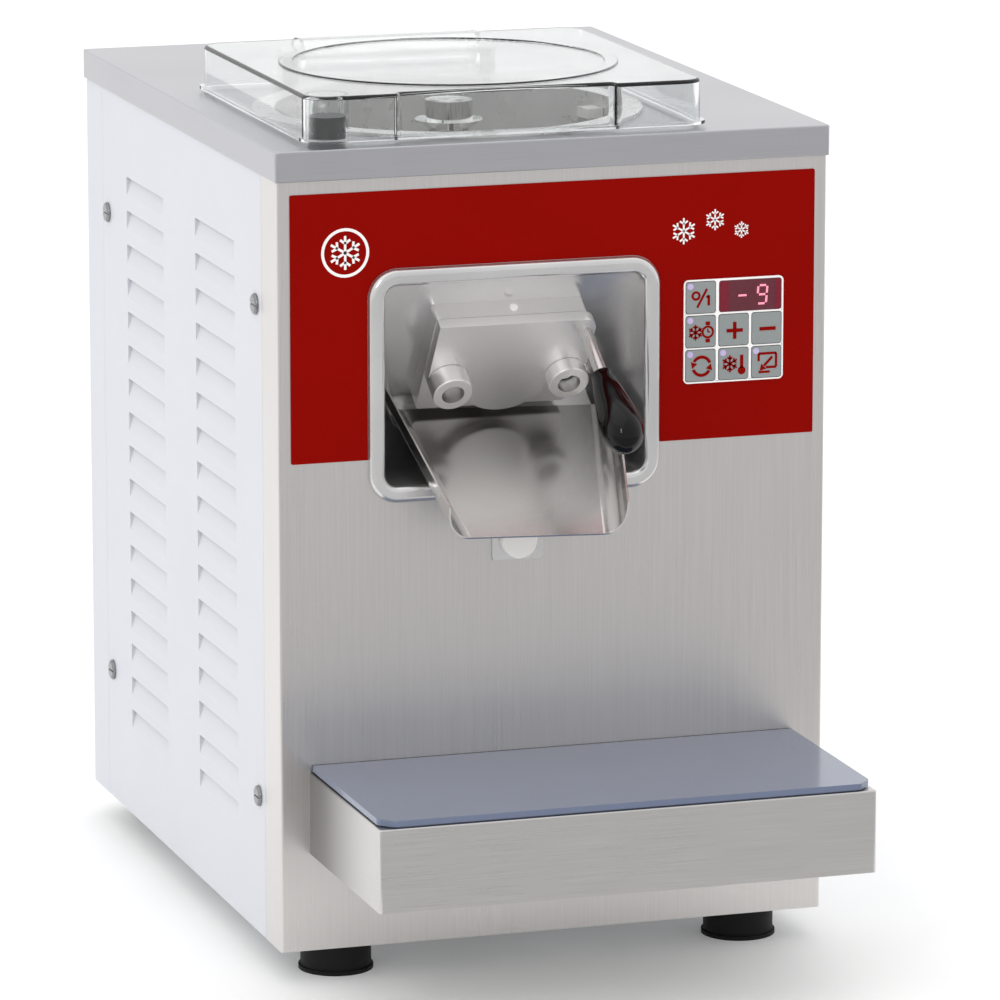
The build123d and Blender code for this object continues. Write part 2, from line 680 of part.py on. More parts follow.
def outlet_block():
    """Machined block around the port, on the sloping wall of the recess."""
    height = BLOCK_BOTTOM - BLOCK_TOP
    middle = Pos((BLOCK_RIGHT - BLOCK_LEFT) / 2, -(BLOCK_TOP + BLOCK_BOTTOM) / 2, 0)
    block = middle * Box(BLOCK_LEFT + BLOCK_RIGHT, height, BLOCK_T, align=BOTTOM)
    block = fillet(block.edges().filter_by(Axis.Z), 2.5)
    block -= Pos(0, -PORT_DOWN, 0) * Cylinder(PORT_R, BLOCK_T, align=BOTTOM)
    groove = Pos(0, -PORT_DOWN, BLOCK_T - GASKET_T)
    block -= groove * Cylinder(PORT_R + GASKET_W + 2, GASKET_T, align=BOTTOM)
    block += groove * (Cylinder(PORT_R + 2, GASKET_T, align=BOTTOM) - Cylinder(PORT_R, GASKET_T, align=BOTTOM))
    for side in (-1, 1):
        place = Pos(side * BOSS_X, -PORT_DOWN, BLOCK_T - BOSS_SCREW_L + BOSS_FLOOR)
        block -= place * Cylinder(BOSS_SCREW_R, BOSS_SCREW_L, align=BOTTOM)
    block -= Pos(0, -BLOCK_TOP, BLOCK_T / 2) * Rot(90, 0, 0) * Cylinder(2.5, 8, align=BOTTOM)
    return outlet.location * block


def port_gasket():
    """Flat ring in the block's groove that the door plate closes on."""
    inner = PORT_R + 2
    ring = Cylinder(inner + GASKET_W, GASKET_T, align=BOTTOM) - Cylinder(inner, GASKET_T, align=BOTTOM)
    return outlet.location * Pos(0, -PORT_DOWN, BLOCK_T - GASKET_T) * ring


def detent_pin():
    """White plastic pin in the block's top edge."""
    pin = Pos(0, -BLOCK_TOP, BLOCK_T / 2) * Rot(90, 0, 0) * Cylinder(2.5, 8, align=BOTTOM)
    head = Pos(0, -BLOCK_TOP, BLOCK_T / 2) * Rot(-90, 0, 0) * Cylinder(2.5, 0.8, align=BOTTOM)
    return outlet.location * (pin + head)


def boss(side, head_l):
    """Turned boss: a shank through the door plate, a head over it and a counterbored screw hole."""
    place = Pos(side * BOSS_X, -PORT_DOWN, 0)
    shape = Pos(0, 0, BLOCK_T) * Cylinder(BOSS_SHANK_R, HEAD_IN - BLOCK_T, align=BOTTOM)
    head = Pos(0, 0, HEAD_IN) * Cylinder(BOSS_R, head_l, align=BOTTOM)
    head = fillet(head.edges().filter_by(GeomType.CIRCLE).sort_by(Axis.Z)[-1], 0.8)
    shape += head
    shape -= Pos(0, 0, BLOCK_T) * Cylinder(BOSS_SCREW_R + FIT, 60, align=BOTTOM)
    shape -= Pos(0, 0, BLOCK_T + BOSS_FLOOR) * Cylinder(BOSS_BORE_R, 60, align=BOTTOM)
    return outlet.location * place * shape


def boss_screws():
    """Slotted cap screws inside the two bosses."""
    shapes = []
    for side in (-1, 1):
        seat = BLOCK_T + BOSS_FLOOR
        screw = Pos(0, 0, seat) * Cylinder(BOSS_SCREW_HEAD_R, BOSS_SCREW_HEAD_H, align=BOTTOM)
        screw = fillet(screw.edges().filter_by(GeomType.CIRCLE).sort_by(Axis.Z)[-1], 1.6)
        screw += Pos(0, 0, seat - BOSS_SCREW_L + BOSS_FLOOR) * Cylinder(BOSS_SCREW_R, BOSS_SCREW_L - BOSS_FLOOR, align=BOTTOM)
        slot = Box(2 * BOSS_SCREW_HEAD_R, 1.6, 1.8, align=BOTTOM)
        screw -= Pos(0, 0, seat + BOSS_SCREW_HEAD_H - 1.8) * Rot(0, 0, 25) * slot
        shapes.append(outlet.location * Pos(side * BOSS_X, -PORT_DOWN, 0) * screw)
    return shapes


def door_outline():
    """Door plate seen square on: straight top, pivot pad, port lobe and an open notch at the stop boss."""
    half = DOOR_W / 2
    top, low = -BLOCK_TOP, -(PORT_DOWN - 2)
    upper = Pos(0, (top + low) / 2) * Rectangle(DOOR_W, top - low)
    corner = [v for v in upper.vertices() if v.X > 0 and v.Y > (top + low) / 2]
    upper = fillet(corner, DOOR_CORNER_R)
    pad = Pos(-BOSS_X + (half - BOSS_X - DOOR_PIVOT_PAD_R) * -1, -PORT_DOWN) * Circle(DOOR_PIVOT_PAD_R)
    shape = upper + pad + Pos(0, -PORT_DOWN) * Circle(DOOR_LOBE_R)
    notch_r = BOSS_SHANK_R + NOTCH_CLEAR
    shape -= Pos(BOSS_X, -PORT_DOWN) * Circle(notch_r)
    open_side = half - BOSS_X + notch_r + 6
    reach = Circle(2 * BOSS_X + 40) - Circle(2 * BOSS_X - notch_r)
    below = Pos(half - open_side / 2, -PORT_DOWN - 15) * Rectangle(open_side, 30)
    shape -= (Pos(-BOSS_X, -PORT_DOWN) * reach) & below
    return shape - Pos(half, -PORT_DOWN + 1) * Rectangle(2 * (half - BOSS_X), 12)


def door_plate():
    """Door plate that turns in its own plane on the pivot boss."""
    plate = extrude(door_outline(), DOOR_T, dir=(0, 0, 1))
    plate -= Pos(-BOSS_X, -PORT_DOWN, 0) * Cylinder(BOSS_SHANK_R + FIT, DOOR_T, align=BOTTOM)
    hole = Pos(LEVER_X, -LEVER_DOWN, DOOR_T - LEVER_SCREWED_L)
    plate -= hole * Cylinder(LEVER_R, LEVER_SCREWED_L, align=BOTTOM)
    return outlet.location * Pos(0, 0, DOOR_IN) * plate


def lever_place():
    return outlet.location * Pos(LEVER_X, -LEVER_DOWN, DOOR_OUT)


def lever_rod():
    """Steel rod screwed square into the door plate."""
    length = LEVER_SCREWED_L + LEVER_FREE_L + LEVER_IN_GRIP
    return lever_place() * Pos(0, 0, -LEVER_SCREWED_L) * Cylinder(LEVER_R, length, align=BOTTOM)


def lever_grip():
    """Tapered moulded grip: narrow neck, widest near the end, rounded tip."""
    neck = GRIP_NECK_R
    side = Spline((neck, 0), (neck + 1.6, GRIP_L * 0.16), (GRIP_R * 0.86, GRIP_L * 0.43), (GRIP_R, GRIP_WIDEST),
                  (GRIP_R * 0.8, GRIP_L * 0.9), (0, GRIP_L), tangents=((0.06, 1), (-1, 0)))
    outline = make_face([side, Line((0, GRIP_L), (0, 0)), Line((0, 0), (neck, 0))])
    grip = revolve(Plane.XZ * outline, Axis.Z)
    grip -= Cylinder(LEVER_R, LEVER_IN_GRIP, align=BOTTOM)
    return lever_place() * Pos(0, 0, LEVER_FREE_L) * grip


def trough_section(half, wall, bend, inset):
    """Cross-section of the chute: a flat floor with rounded bends into upright walls."""
    low = -CHUTE_T + inset
    points = [(-half + inset, wall), (-half + inset, low), (half - inset, low), (half - inset, wall)]
    face = make_face(Polyline(*points, close=True))
    corners = face.vertices().group_by(Axis.Y)[0]
    return fillet(corners, bend - inset)


def chute():
    """Tapered steel trough under the outlet, open at both ends."""
    front = Plane(origin=(0, -CHUTE_OUT, 0), x_dir=(1, 0, 0), z_dir=(0, -1, 0))
    back = Plane(origin=(0, CHUTE_IN, 0), x_dir=(1, 0, 0), z_dir=(0, -1, 0))
    bend = CHUTE_BEND_R + CHUTE_T
    outer = loft([back * trough_section(CHUTE_HALF_BACK, CHUTE_WALL, bend, 0),
                  front * trough_section(CHUTE_HALF_FRONT, CHUTE_WALL, bend, 0)])
    inner = loft([back * trough_section(CHUTE_HALF_BACK, CHUTE_WALL, bend, CHUTE_T),
                  front * trough_section(CHUTE_HALF_FRONT, CHUTE_WALL, bend, CHUTE_T)])
    nose = [(-CHUTE_OUT, 0), (-CHUTE_OUT, CHUTE_WALL), (-CHUTE_OUT + CHUTE_NOSE, CHUTE_WALL)]
    cut = prism_x(nose, -CHUTE_HALF_BACK, CHUTE_HALF_BACK)
    return chute_place * (outer - inner - cut)


def chute_rest():
    """Folded strip under the outlet block: its ledge carries the chute's back end."""
    top = -CHUTE_T - GAP
    reach = CHUTE_IN - REST_OVERLAP
    ledge = slab((-REST_HALF, REST_HALF), (reach, CHUTE_IN + 40), (top - CHUTE_T, top))
    start = BLOCK_BOTTOM + REST_DROP
    flange = slab((-REST_HALF, REST_HALF), (-start - REST_FLANGE, -start), (0, CHUTE_T))
    behind = slab((-REST_HALF, REST_HALF), (-200, 200), (-200, 0))
    return chute_frame.location * ledge - outlet.location * behind + outlet.location * flange


# ---------------------------------------------------------------- clear cover
def cover_edge():
    """Left, front and rear limits of the cover's base lip."""
    return CYL_X - COVER_W / 2, FRONT + COVER_FRONT, FRONT + COVER_FRONT + COVER_D


def hinge_y():
    return cover_edge()[2] - COVER_LIP + HINGE_BACK


def cover_seat():
    return LID_TOP + CYL_FLANGE_T + GAP


def cover_shape(inset, z0, z1):
    """Rounded block of the cover, set in from the outer wall, with the recessed middle bay."""
    left, front, back = cover_edge()
    w = COVER_W - 2 * COVER_LIP - 2 * inset
    d = COVER_D - 2 * COVER_LIP - 2 * inset
    outline = Pos(CYL_X, (front + back) / 2) * RectangleRounded(w, d, COVER_CORNER_R - inset)
    bay = Pos(CYL_X, front + COVER_LIP + inset) * Rectangle(COVER_BAY_W + 2 * inset, 2 * COVER_BAY_DEPTH)
    outline -= bay
    inner_corners = [v for v in outline.vertices() if abs(v.X - CYL_X) < COVER_BAY_W / 2 + 4]
    outline = fillet(inner_corners, 2.4)
    return Pos(0, 0, z0) * extrude(outline, z1 - z0, dir=(0, 0, 1))


def clear_cover():
    """Moulded clear cover: domed box with a base lip, middle bay, magnet boss, ring bead and hinge lug."""
    left, front, back = cover_edge()
    seat = cover_seat()
    top = LID_TOP + COVER_H
    shell = cover_shape(0, seat, top)
    shell = fillet(shell.faces().sort_by(Axis.Z)[-1].edges(), 2.0)
    lip = Pos(CYL_X, (front + back) / 2, seat) * extrude(RectangleRounded(COVER_W, COVER_D, COVER_CORNER_R), COVER_LIP_T)
    shell += lip
    axis_z = LID_TOP + HINGE_AXIS_H
    lug_x = (CYL_X - HINGE_LUG_W / 2, CYL_X + HINGE_LUG_W / 2)
    barrel = rod((lug_x[0], hinge_y(), axis_z), (1, 0, 0), HINGE_BARREL_R, HINGE_LUG_W)
    web = slab(lug_x, (back - COVER_LIP - 6, hinge_y()), (axis_z, axis_z + HINGE_BARREL_R))
    shell += barrel + web
    shell -= cover_shape(COVER_WALL, seat, top - COVER_WALL)
    wall = COVER_WALL
    inner_x = (lug_x[0] + wall, lug_x[1] - wall)
    core = rod((inner_x[0], hinge_y(), axis_z), (1, 0, 0), HINGE_BARREL_R - wall, inner_x[1] - inner_x[0])
    core += slab(inner_x, (back - COVER_LIP + 1, hinge_y() + 8), (seat - 5, axis_z))
    shell -= core
    shell -= rod((lug_x[0] - 1, hinge_y(), axis_z), (1, 0, 0), HINGE_PIN_R + FIT, HINGE_LUG_W + 2)
    ring = Cylinder(COVER_RING_R, COVER_RING_H, align=BOTTOM)
    ring -= Cylinder(COVER_RING_R - COVER_RING_W, COVER_RING_H, align=BOTTOM)
    edges = ring.edges().filter_by(GeomType.CIRCLE).group_by(Axis.Z)[-1]
    shell += Pos(CYL_X, CYL_Y, top) * fillet(edges, COVER_RING_H * 0.8)
    x, y = magnet_place()
    holder_r = MAGNET_R + FIT + 1.5
    holder = post(x, y, seat + 1, holder_r, top - seat - 2) - post(x, y, seat + 1, MAGNET_R + FIT, top - seat - 2)
    return shell + holder


def magnet_place():
    left, front, _ = cover_edge()
    return left + COVER_LIP + MAGNET_INSET, front + COVER_LIP + MAGNET_INSET


def cover_magnet():
    """Magnet in the cover's front corner that tells the control the cover is shut."""
    x, y = magnet_place()
    return post(x, y, cover_seat() + 1, MAGNET_R, MAGNET_H)


def cover_hinges():
    """Two steel knuckles on the top cover, one at each end of the cover's hinge lug."""
    axis_z = LID_TOP + HINGE_AXIS_H
    shapes = []
    for side in (-1, 1):
        near = CYL_X + side * (HINGE_LUG_W / 2 + 1.0)
        x = sorted((near, near + side * HINGE_KNUCKLE_W))
        knuckle = rod((x[0], hinge_y(), axis_z), (1, 0, 0), HINGE_KNUCKLE_R, HINGE_KNUCKLE_W)
        leg = slab(x, (hinge_y() - HINGE_KNUCKLE_R, hinge_y() + HINGE_KNUCKLE_R), (LID_TOP, axis_z))
        foot = slab(x, (hinge_y() - HINGE_KNUCKLE_R, hinge_y() + 22), (LID_TOP, LID_TOP + 2.5))
        bore = rod((x[0] - 1, hinge_y(), axis_z), (1, 0, 0), HINGE_PIN_R, HINGE_KNUCKLE_W + 2)
        shapes.append(knuckle + leg + foot - bore)
    return shapes


def hinge_pin():
    """Steel pin through the knuckles and the cover's lug."""
    half = HINGE_LUG_W / 2 + 1.0 + HINGE_KNUCKLE_W + 1.5
    return rod((CYL_X - half, hinge_y(), LID_TOP + HINGE_AXIS_H), (1, 0, 0), HINGE_PIN_R, 2 * half)


# ---------------------------------------------------------------- keypad
def cell(column, row):
    """Centre of a keypad cell; column and row count from the top left."""
    return KEYPAD_X + (column - 1) * KEY_PITCH_X, BASE + KEYPAD_Z + (1 - row) * KEY_PITCH_Z


def key_front():
    return FRONT - FASCIA_T - KEYPAD_T - 0.2


def key(column, row):
    """One push key, standing a little proud of the keypad frame."""
    x, z = cell(column, row)
    shape = plate_y(KEY_W, KEY_H, 1.5, x, z, key_front(), KEY_T)
    return fillet(shape.faces().sort_by(Axis.Y)[0].edges(), 0.3)


def display_size():
    return KEY_PITCH_X + KEY_W, KEY_H


def display_window():
    """Dark window of the temperature display, over the two top right cells."""
    w, h = display_size()
    x, z = cell(1.5, 0)
    return plate_y(w, h, 1.5, x, z, key_front(), KEY_T)


def keypad_frame():
    """Pale frame around the keys and the display."""
    frame = plate_y(KEYPAD_W, KEYPAD_H, KEYPAD_CORNER_R, KEYPAD_X, BASE + KEYPAD_Z, FRONT - FASCIA_T - KEYPAD_T, KEYPAD_T)
    y, depth = FRONT - FASCIA_T - KEYPAD_T - 1, KEYPAD_T + 2
    for column, row in key_cells():
        x, z = cell(column, row)
        frame -= plate_y(KEY_W + 2 * KEY_GAP, KEY_H + 2 * KEY_GAP, 1.7, x, z, y, depth)
    w, h = display_size()
    x, z = cell(1.5, 0)
    return frame - plate_y(w, h, 1.5, x, z, y, depth)


def key_cells():
    return [(0, 0)] + [(column, row) for row in (1, 2) for column in range(3)]


def control_board():
    """Circuit board behind the keypad, with its parts as low blocks."""
    y = FRONT + 6.0
    x, z = KEYPAD_X, BASE + KEYPAD_Z
    board = slab((x - 35, x + 35), (y, y + BOARD_T), (z - 40, z + 40))
    board += slab((x - 25, x - 5), (y + BOARD_T, y + BOARD_T + 12), (z - 30, z - 10))
    board += slab((x + 5, x + 28), (y + BOARD_T, y + BOARD_T + 16), (z - 32, z))
    return board + slab((x - 20, x + 20), (y + BOARD_T, y + BOARD_T + 4), (z + 12, z + 24))


# ---------------------------------------------------------------- drive
def drive_deck():
    """Steel deck behind the recess that carries the bearing housing and, below it, the gear motor."""
    front = CYL_Y - HOUSING_FLANGE_R - 2
    half = SIDE - SHEET - 2 * GAP - POST_T - 1
    deck = slab((-half, half), (front, BACK - 60), (DECK_Z, DECK_Z + DECK_T))
    turned = slab((-half, half), (BACK - 60 - DECK_T, BACK - 60), (DECK_Z - 20, DECK_Z))
    deck += turned
    for x, y in pipe_risers():
        deck -= post(x, y, DECK_Z, PIPE_R + 3, DECK_T)
    return deck - post(CYL_X, CYL_Y, DECK_Z, SHAFT_R + 4, DECK_T)


def bearing_housing():
    """Flanged housing between the deck and the cylinder's floor, with two bearing seats."""
    low = DECK_Z + DECK_T
    body = post(CYL_X, CYL_Y, low, HOUSING_R, HOUSING_H)
    body += post(CYL_X, CYL_Y, low, HOUSING_FLANGE_R, HOUSING_FLANGE_T)
    body += post(CYL_X, CYL_Y, UNDER_FLOOR - HOUSING_FLANGE_T, HOUSING_FLANGE_R, HOUSING_FLANGE_T)
    return body - post(CYL_X, CYL_Y, low, BEARING_R, HOUSING_H)


def bearings():
    """Two deep-groove ball bearings, each as one ring."""
    ring = Cylinder(BEARING_R, BEARING_H, align=BOTTOM) - Cylinder(SHAFT_R + FIT, BEARING_H, align=BOTTOM)
    low = DECK_Z + DECK_T
    return [Pos(CYL_X, CYL_Y, z) * ring for z in (low, low + HOUSING_H - BEARING_H - 6)]


def shaft_seal():
    """Lip seal in the cylinder's floor."""
    low = UNDER_FLOOR - 6
    ring = post(CYL_X, CYL_Y, low, BEARING_R, 6) + post(CYL_X, CYL_Y, low, SHAFT_R + 6.5, 6 + CYL_FLOOR_T)
    return ring - post(CYL_X, CYL_Y, low, SHAFT_R + FIT, 6 + CYL_FLOOR_T)


def dasher_shaft():
    """Drive shaft from the pulley up into the dasher's hub, with a square top."""
    low = PULLEY_LOW - 4
    shaft = post(CYL_X, CYL_Y, low, SHAFT_R, FLOOR_Z + 6 - low)
    square = 10.0
    return shaft + Pos(CYL_X, CYL_Y, FLOOR_Z + 6) * Box(square, square, 34, align=BOTTOM)


def dasher():
    """Hub with a flared collar, three floor arms and three upright bars that carry the scrapers."""
    low = FLOOR_Z + 1.0
    hub_top = BASE + HUB_TOP
    column = Pos(0, 0, low) * Cylinder(HUB_R - 2, hub_top - low, align=BOTTOM)
    flare_z = BASE + HUB_TOP - 12
    column += Pos(0, 0, flare_z - 6) * Cone(HUB_R - 2, HUB_FLARE_R, 6, align=BOTTOM)
    column += Pos(0, 0, flare_z) * Cylinder(HUB_R, hub_top - flare_z, align=BOTTOM)
    column = column.fuse(Pos(0, 0, low) * Cylinder(HUB_FLARE_R, 12, align=BOTTOM))
    reach = CYL_R - SCRAPER_CLEAR - SCRAPER_T
    arm = slab((0, reach), (-DASHER_ARM_W / 2, DASHER_ARM_W / 2), (low, low + DASHER_ARM_H))
    bar = slab((reach - DASHER_BAR_T, reach), (-DASHER_ARM_W / 2, DASHER_ARM_W / 2), (low, BASE + DASHER_TOP - 6))
    shape = Part() + [column] + around(DASHER_ARMS, DASHER_ANGLE, arm + bar)
    shape -= Pos(0, 0, low) * Cylinder(SHAFT_R + 0.1, 5.2, align=BOTTOM)
    shape -= Pos(0, 0, low + 5.2) * Box(10.2, 10.2, 35, align=BOTTOM)
    return Pos(CYL_X, CYL_Y, 0) * shape


def scraper_blades():
    """White plastic scrapers on the dasher's bars, just clear of the cylinder wall."""
    low, high = FLOOR_Z + 1.0, BASE + DASHER_TOP
    face = CYL_R - SCRAPER_CLEAR
    strip = slab((face - SCRAPER_T, face + 2), (-SCRAPER_W / 2, SCRAPER_W / 2), (low, high))
    strip &= Pos(0, 0, low) * Cylinder(face, high - low, align=BOTTOM)
    cap = slab((face - SCRAPER_T - DASHER_BAR_T, face - SCRAPER_T), (-SCRAPER_W / 2, SCRAPER_W / 2), (high - 6, high))
    return [Pos(CYL_X, CYL_Y, 0) * shape for shape in around(DASHER_ARMS, DASHER_ANGLE, strip + cap)]


def pulley(radius, bore):
    """Flanged flat-belt pulley."""
    shape = Cylinder(radius, PULLEY_H, align=BOTTOM)
    edge = (PULLEY_H - PULLEY_GROOVE_H) / 2
    groove = Cylinder(radius, PULLEY_GROOVE_H, align=BOTTOM)
    groove -= Cylinder(radius - PULLEY_GROOVE, PULLEY_GROOVE_H, align=BOTTOM)
    shape -= Pos(0, 0, edge) * groove
    return shape - Cylinder(bore, PULLEY_H, align=BOTTOM)


def driven_pulley():
    wheel = pulley(PULLEY_R, SHAFT_R)
    lightening = Pos(PULLEY_R * 0.55, 0, 0) * Cylinder(7, PULLEY_H, align=BOTTOM)
    wheel -= around(6, 0, lightening)
    return Pos(CYL_X, CYL_Y, PULLEY_LOW) * wheel


def motor_pulley():
    """Motor pulley with the gear motor's output shaft."""
    wheel = Pos(CYL_X, CYL_Y + BELT_CENTRES, PULLEY_LOW) * pulley(MOTOR_PULLEY_R, MOTOR_SHAFT_R)
    return wheel + post(CYL_X, CYL_Y + BELT_CENTRES, PULLEY_LOW - 8, MOTOR_SHAFT_R, PULLEY_H + 10)


def drive_belt():
    """Flat toothed belt around both pulleys, clear of the grooves by a small gap."""
    big = PULLEY_R - PULLEY_GROOVE + GAP
    small = MOTOR_PULLEY_R - PULLEY_GROOVE + GAP

    def loop(grow):
        r1, r2 = big + grow, small + grow
        lean = math.asin((r1 - r2) / BELT_CENTRES)
        c, s = math.cos(lean), math.sin(lean)
        left1, left2 = (-r1 * c, r1 * s), (-r2 * c, BELT_CENTRES + r2 * s)
        right1, right2 = (r1 * c, r1 * s), (r2 * c, BELT_CENTRES + r2 * s)
        outline = [
            Line(left1, left2),
            ThreePointArc(left2, (0, BELT_CENTRES + r2), right2),
            Line(right2, right1),
            ThreePointArc(right1, (0, -r1), left1),
        ]
        return make_face(outline)

    band = extrude(loop(BELT_T) - loop(0), BELT_H, dir=(0, 0, 1))
    return Pos(CYL_X, CYL_Y, PULLEY_LOW + (PULLEY_H - BELT_H) / 2) * band


def gear_motor():
    """Gearbox and motor that hang under the motor plate."""
    y = CYL_Y + BELT_CENTRES
    top = PULLEY_LOW - 8 - MOTOR_PLATE_T
    half = GEARBOX_SIDE / 2
    box = slab((CYL_X - half, CYL_X + half), (y - half, y + half), (top - GEARBOX_H, top))
    box = fillet(box.edges().filter_by(Axis.Z), 10)
    motor = post(CYL_X, y, top - GEARBOX_H - MOTOR_L, MOTOR_R, MOTOR_L)
    motor = fillet(motor.edges().filter_by(GeomType.CIRCLE).sort_by(Axis.Z)[0], 6)
    fins = [
        Pos(CYL_X, y, top - GEARBOX_H - MOTOR_L + 16) * Rot(0, 0, 20 * i) * Pos(MOTOR_R + 1, 0, 0)
        * Box(6, 2, MOTOR_L - 24, align=BOTTOM) for i in range(18)
    ]
    return box + motor + fins


def motor_plate():
    """Plate under the pulleys, hung from the deck on four spacers."""
    y = CYL_Y + BELT_CENTRES
    z = PULLEY_LOW - 8 - MOTOR_PLATE_T
    half = GEARBOX_SIDE / 2 + 6
    plate = slab((CYL_X - half, CYL_X + half), (y - half, y + half), (z, z + MOTOR_PLATE_T))
    plate -= post(CYL_X, y, z, MOTOR_SHAFT_R + 3, MOTOR_PLATE_T)
    for sx in (-1, 1):
        for sy in (-1, 1):
            plate += post(CYL_X + sx * (half - 7), y + sy * (half - 7), z, MOTOR_SPACER_R, DECK_Z - z)
    return plate


# ---------------------------------------------------------------- refrigeration
def compressor():
    """Hermetic compressor: domed shell on a base plate with four rubber mounts."""
    x, y = COMPRESSOR_X, FRONT + COMPRESSOR_BACK
    low = BASE + POST_T
    can = post(x, y, low + COMPRESSOR_FOOT_H + 3, COMPRESSOR_R, COMPRESSOR_H)
    can = fillet(can.edges().filter_by(GeomType.CIRCLE).sort_by(Axis.Z)[-1], 32)
    seam = post(x, y, low + COMPRESSOR_FOOT_H + 80, COMPRESSOR_R + 3, 5)
    half = 62.0
    plate = slab((x - half, x + half), (y - half, y + half), (low + COMPRESSOR_FOOT_H, low + COMPRESSOR_FOOT_H + 3))
    mounts = [
        post(x + sx * (half - 10), y + sy * (half - 10), low, 8, COMPRESSOR_FOOT_H) for sx in (-1, 1) for sy in (-1, 1)
    ]
    return Part() + [can, seam, plate] + mounts


def condenser_box():
    low = BASE + POST_T + 14
    return FRONT + CONDENSER_FRONT, FRONT + CONDENSER_FRONT + CONDENSER_W, low, low + CONDENSER_H


def condenser():
    """Fin block with end plates and four tube rows."""
    y0, y1, z0, z1 = condenser_box()
    x0, x1 = CONDENSER_X, CONDENSER_X + CONDENSER_T
    ends = [slab((x0, x1), y, (z0, z1)) for y in ((y0, y0 + 2), (y1 - 2, y1))]
    count = int((CONDENSER_W - 8) / CONDENSER_FIN_PITCH)
    fins = [
        slab((x0 + 2, x1 - 2), (y0 + CONDENSER_FIN_PITCH * (i + 1), y0 + CONDENSER_FIN_PITCH * (i + 1) + 0.8),
             (z0 + 4, z1 - 4)) for i in range(count)
    ]
    rows = 6
    tubes = [
        rod((x0 + CONDENSER_T / 2, y0, z0 + CONDENSER_H / rows * (i + 0.5)), (0, 1, 0), 4.5, CONDENSER_W)
        for i in range(rows)
    ]
    legs = [slab((x0, x1), y, (BASE + POST_T, z0)) for y in ((y0, y0 + 2), (y1 - 2, y1))]
    return Part() + ends + fins + tubes + legs


def fan_centre():
    y0, y1, z0, z1 = condenser_box()
    return (y0 + y1) / 2, (z0 + z1) / 2


def fan_x():
    return CONDENSER_X + CONDENSER_T


def fan_shroud():
    """Plate and ring around the fan, with three struts that hold the fan motor."""
    y0, y1, z0, z1 = condenser_box()
    y, z = fan_centre()
    x = fan_x()
    plate = slab((x, x + 1.5), (y0, y1), (z0, z1))
    plate += rod((x, y, z), (1, 0, 0), FAN_R + 5, SHROUD_DEPTH)
    plate -= rod((x - 1, y, z), (1, 0, 0), FAN_R + 3.5, SHROUD_DEPTH + 2)
    struts = []
    for i in range(3):
        strut = slab((SHROUD_DEPTH - 3, SHROUD_DEPTH), (-4, 4), (FAN_MOTOR_R, FAN_R + 4))
        struts.append(Pos(x, y, z) * Rot(120 * i + 60, 0, 0) * strut)
    return plate + struts


def fan_motor():
    """Shaded-pole fan motor held by the struts."""
    y, z = fan_centre()
    start = fan_x() + SHROUD_DEPTH - 4
    body = rod((start, y, z), (1, 0, 0), FAN_MOTOR_R, FAN_MOTOR_L)
    return fillet(body.edges().filter_by(GeomType.CIRCLE).sort_by(Axis.X)[-1], 4)


def fan_blades():
    """Pressed fan wheel with pitched blades."""
    y, z = fan_centre()
    hub_l = 9.0
    x = fan_x() + 3.0
    hub = rod((0, 0, 0), (1, 0, 0), 18, hub_l)
    blade = Pos(hub_l / 2, 0, (FAN_R + 14) / 2) * Rot(0, 0, 20) * Box(1.6, 30, FAN_R - 14)
    blades = [Rot(360 / FAN_BLADES * i, 0, 0) * blade for i in range(FAN_BLADES)]
    wheel = Part() + [hub] + blades
    limit = rod((-20, 0, 0), (1, 0, 0), FAN_R, 60)
    return Pos(x, y, z) * (wheel & limit)


def pipe_risers():
    """Where the feed and the suction lines pass up through the deck."""
    feed = (CONDENSER_X + CONDENSER_T / 2, condenser_box()[1] + 34)
    suction = (COMPRESSOR_X + 20, FRONT + COMPRESSOR_BACK)
    return feed, suction


def pipe(points, radius, bend):
    """Round copper pipe along straight runs with bends."""
    path = FilletPolyline(*points, radius=bend)
    start = Plane(origin=path @ 0, z_dir=path % 0)
    return sweep(start * Circle(radius), path=path)


def refrigerant_pipes():
    """Discharge, liquid and suction lines between compressor, condenser, drier and evaporator."""
    y0, y1, z0, z1 = condenser_box()
    x = CONDENSER_X + CONDENSER_T / 2
    cx, cy = COMPRESSOR_X, FRONT + COMPRESSOR_BACK
    top = BASE + POST_T + COMPRESSOR_FOOT_H + 3 + COMPRESSOR_H
    rows = 6
    step = CONDENSER_H / rows
    high_row, low_row = z0 + step * (rows - 0.5), z0 + step * 0.5
    back = BACK - 34
    rise = max(top, high_row) + 34
    discharge = pipe([(cx - 20, cy, top), (cx - 20, cy, rise), (cx - 20, back, rise), (x, back, rise),
                      (x, back, high_row), (x, y1, high_row)], PIPE_R, 12)
    drier_y = pipe_risers()[0][1]
    liquid = pipe([(x, y1, low_row), (x, drier_y, low_row), (x, drier_y, low_row + 24)], PIPE_R * 0.75, 9)
    drier = post(x, drier_y, low_row + 24, DRIER_R, DRIER_L)
    coil_r = CYL_R + CYL_WALL + GAP + COIL_R
    coil_z = FLOOR_Z + 10
    ring = coil_r + COIL_R + GAP + FOAM_T + 6
    feed = pipe([(x, drier_y, low_row + 24 + DRIER_L), (x, drier_y, coil_z - 8),
                 (CYL_X - ring * 0.5, drier_y, coil_z - 8), (CYL_X - ring * 0.5, drier_y, coil_z + 30)], PIPE_R * 0.6, 8)
    suction = pipe([(cx + 20, cy, top), (cx + 20, cy, coil_z - 8), (CYL_X + ring * 0.6, cy - 30, coil_z - 8),
                    (CYL_X + ring * 0.6, cy - 30, coil_z + 40)], PIPE_R, 12)
    return [discharge, liquid, feed, suction, drier]


# ---------------------------------------------------------------- write every node
os.makedirs("parts", exist_ok=True)

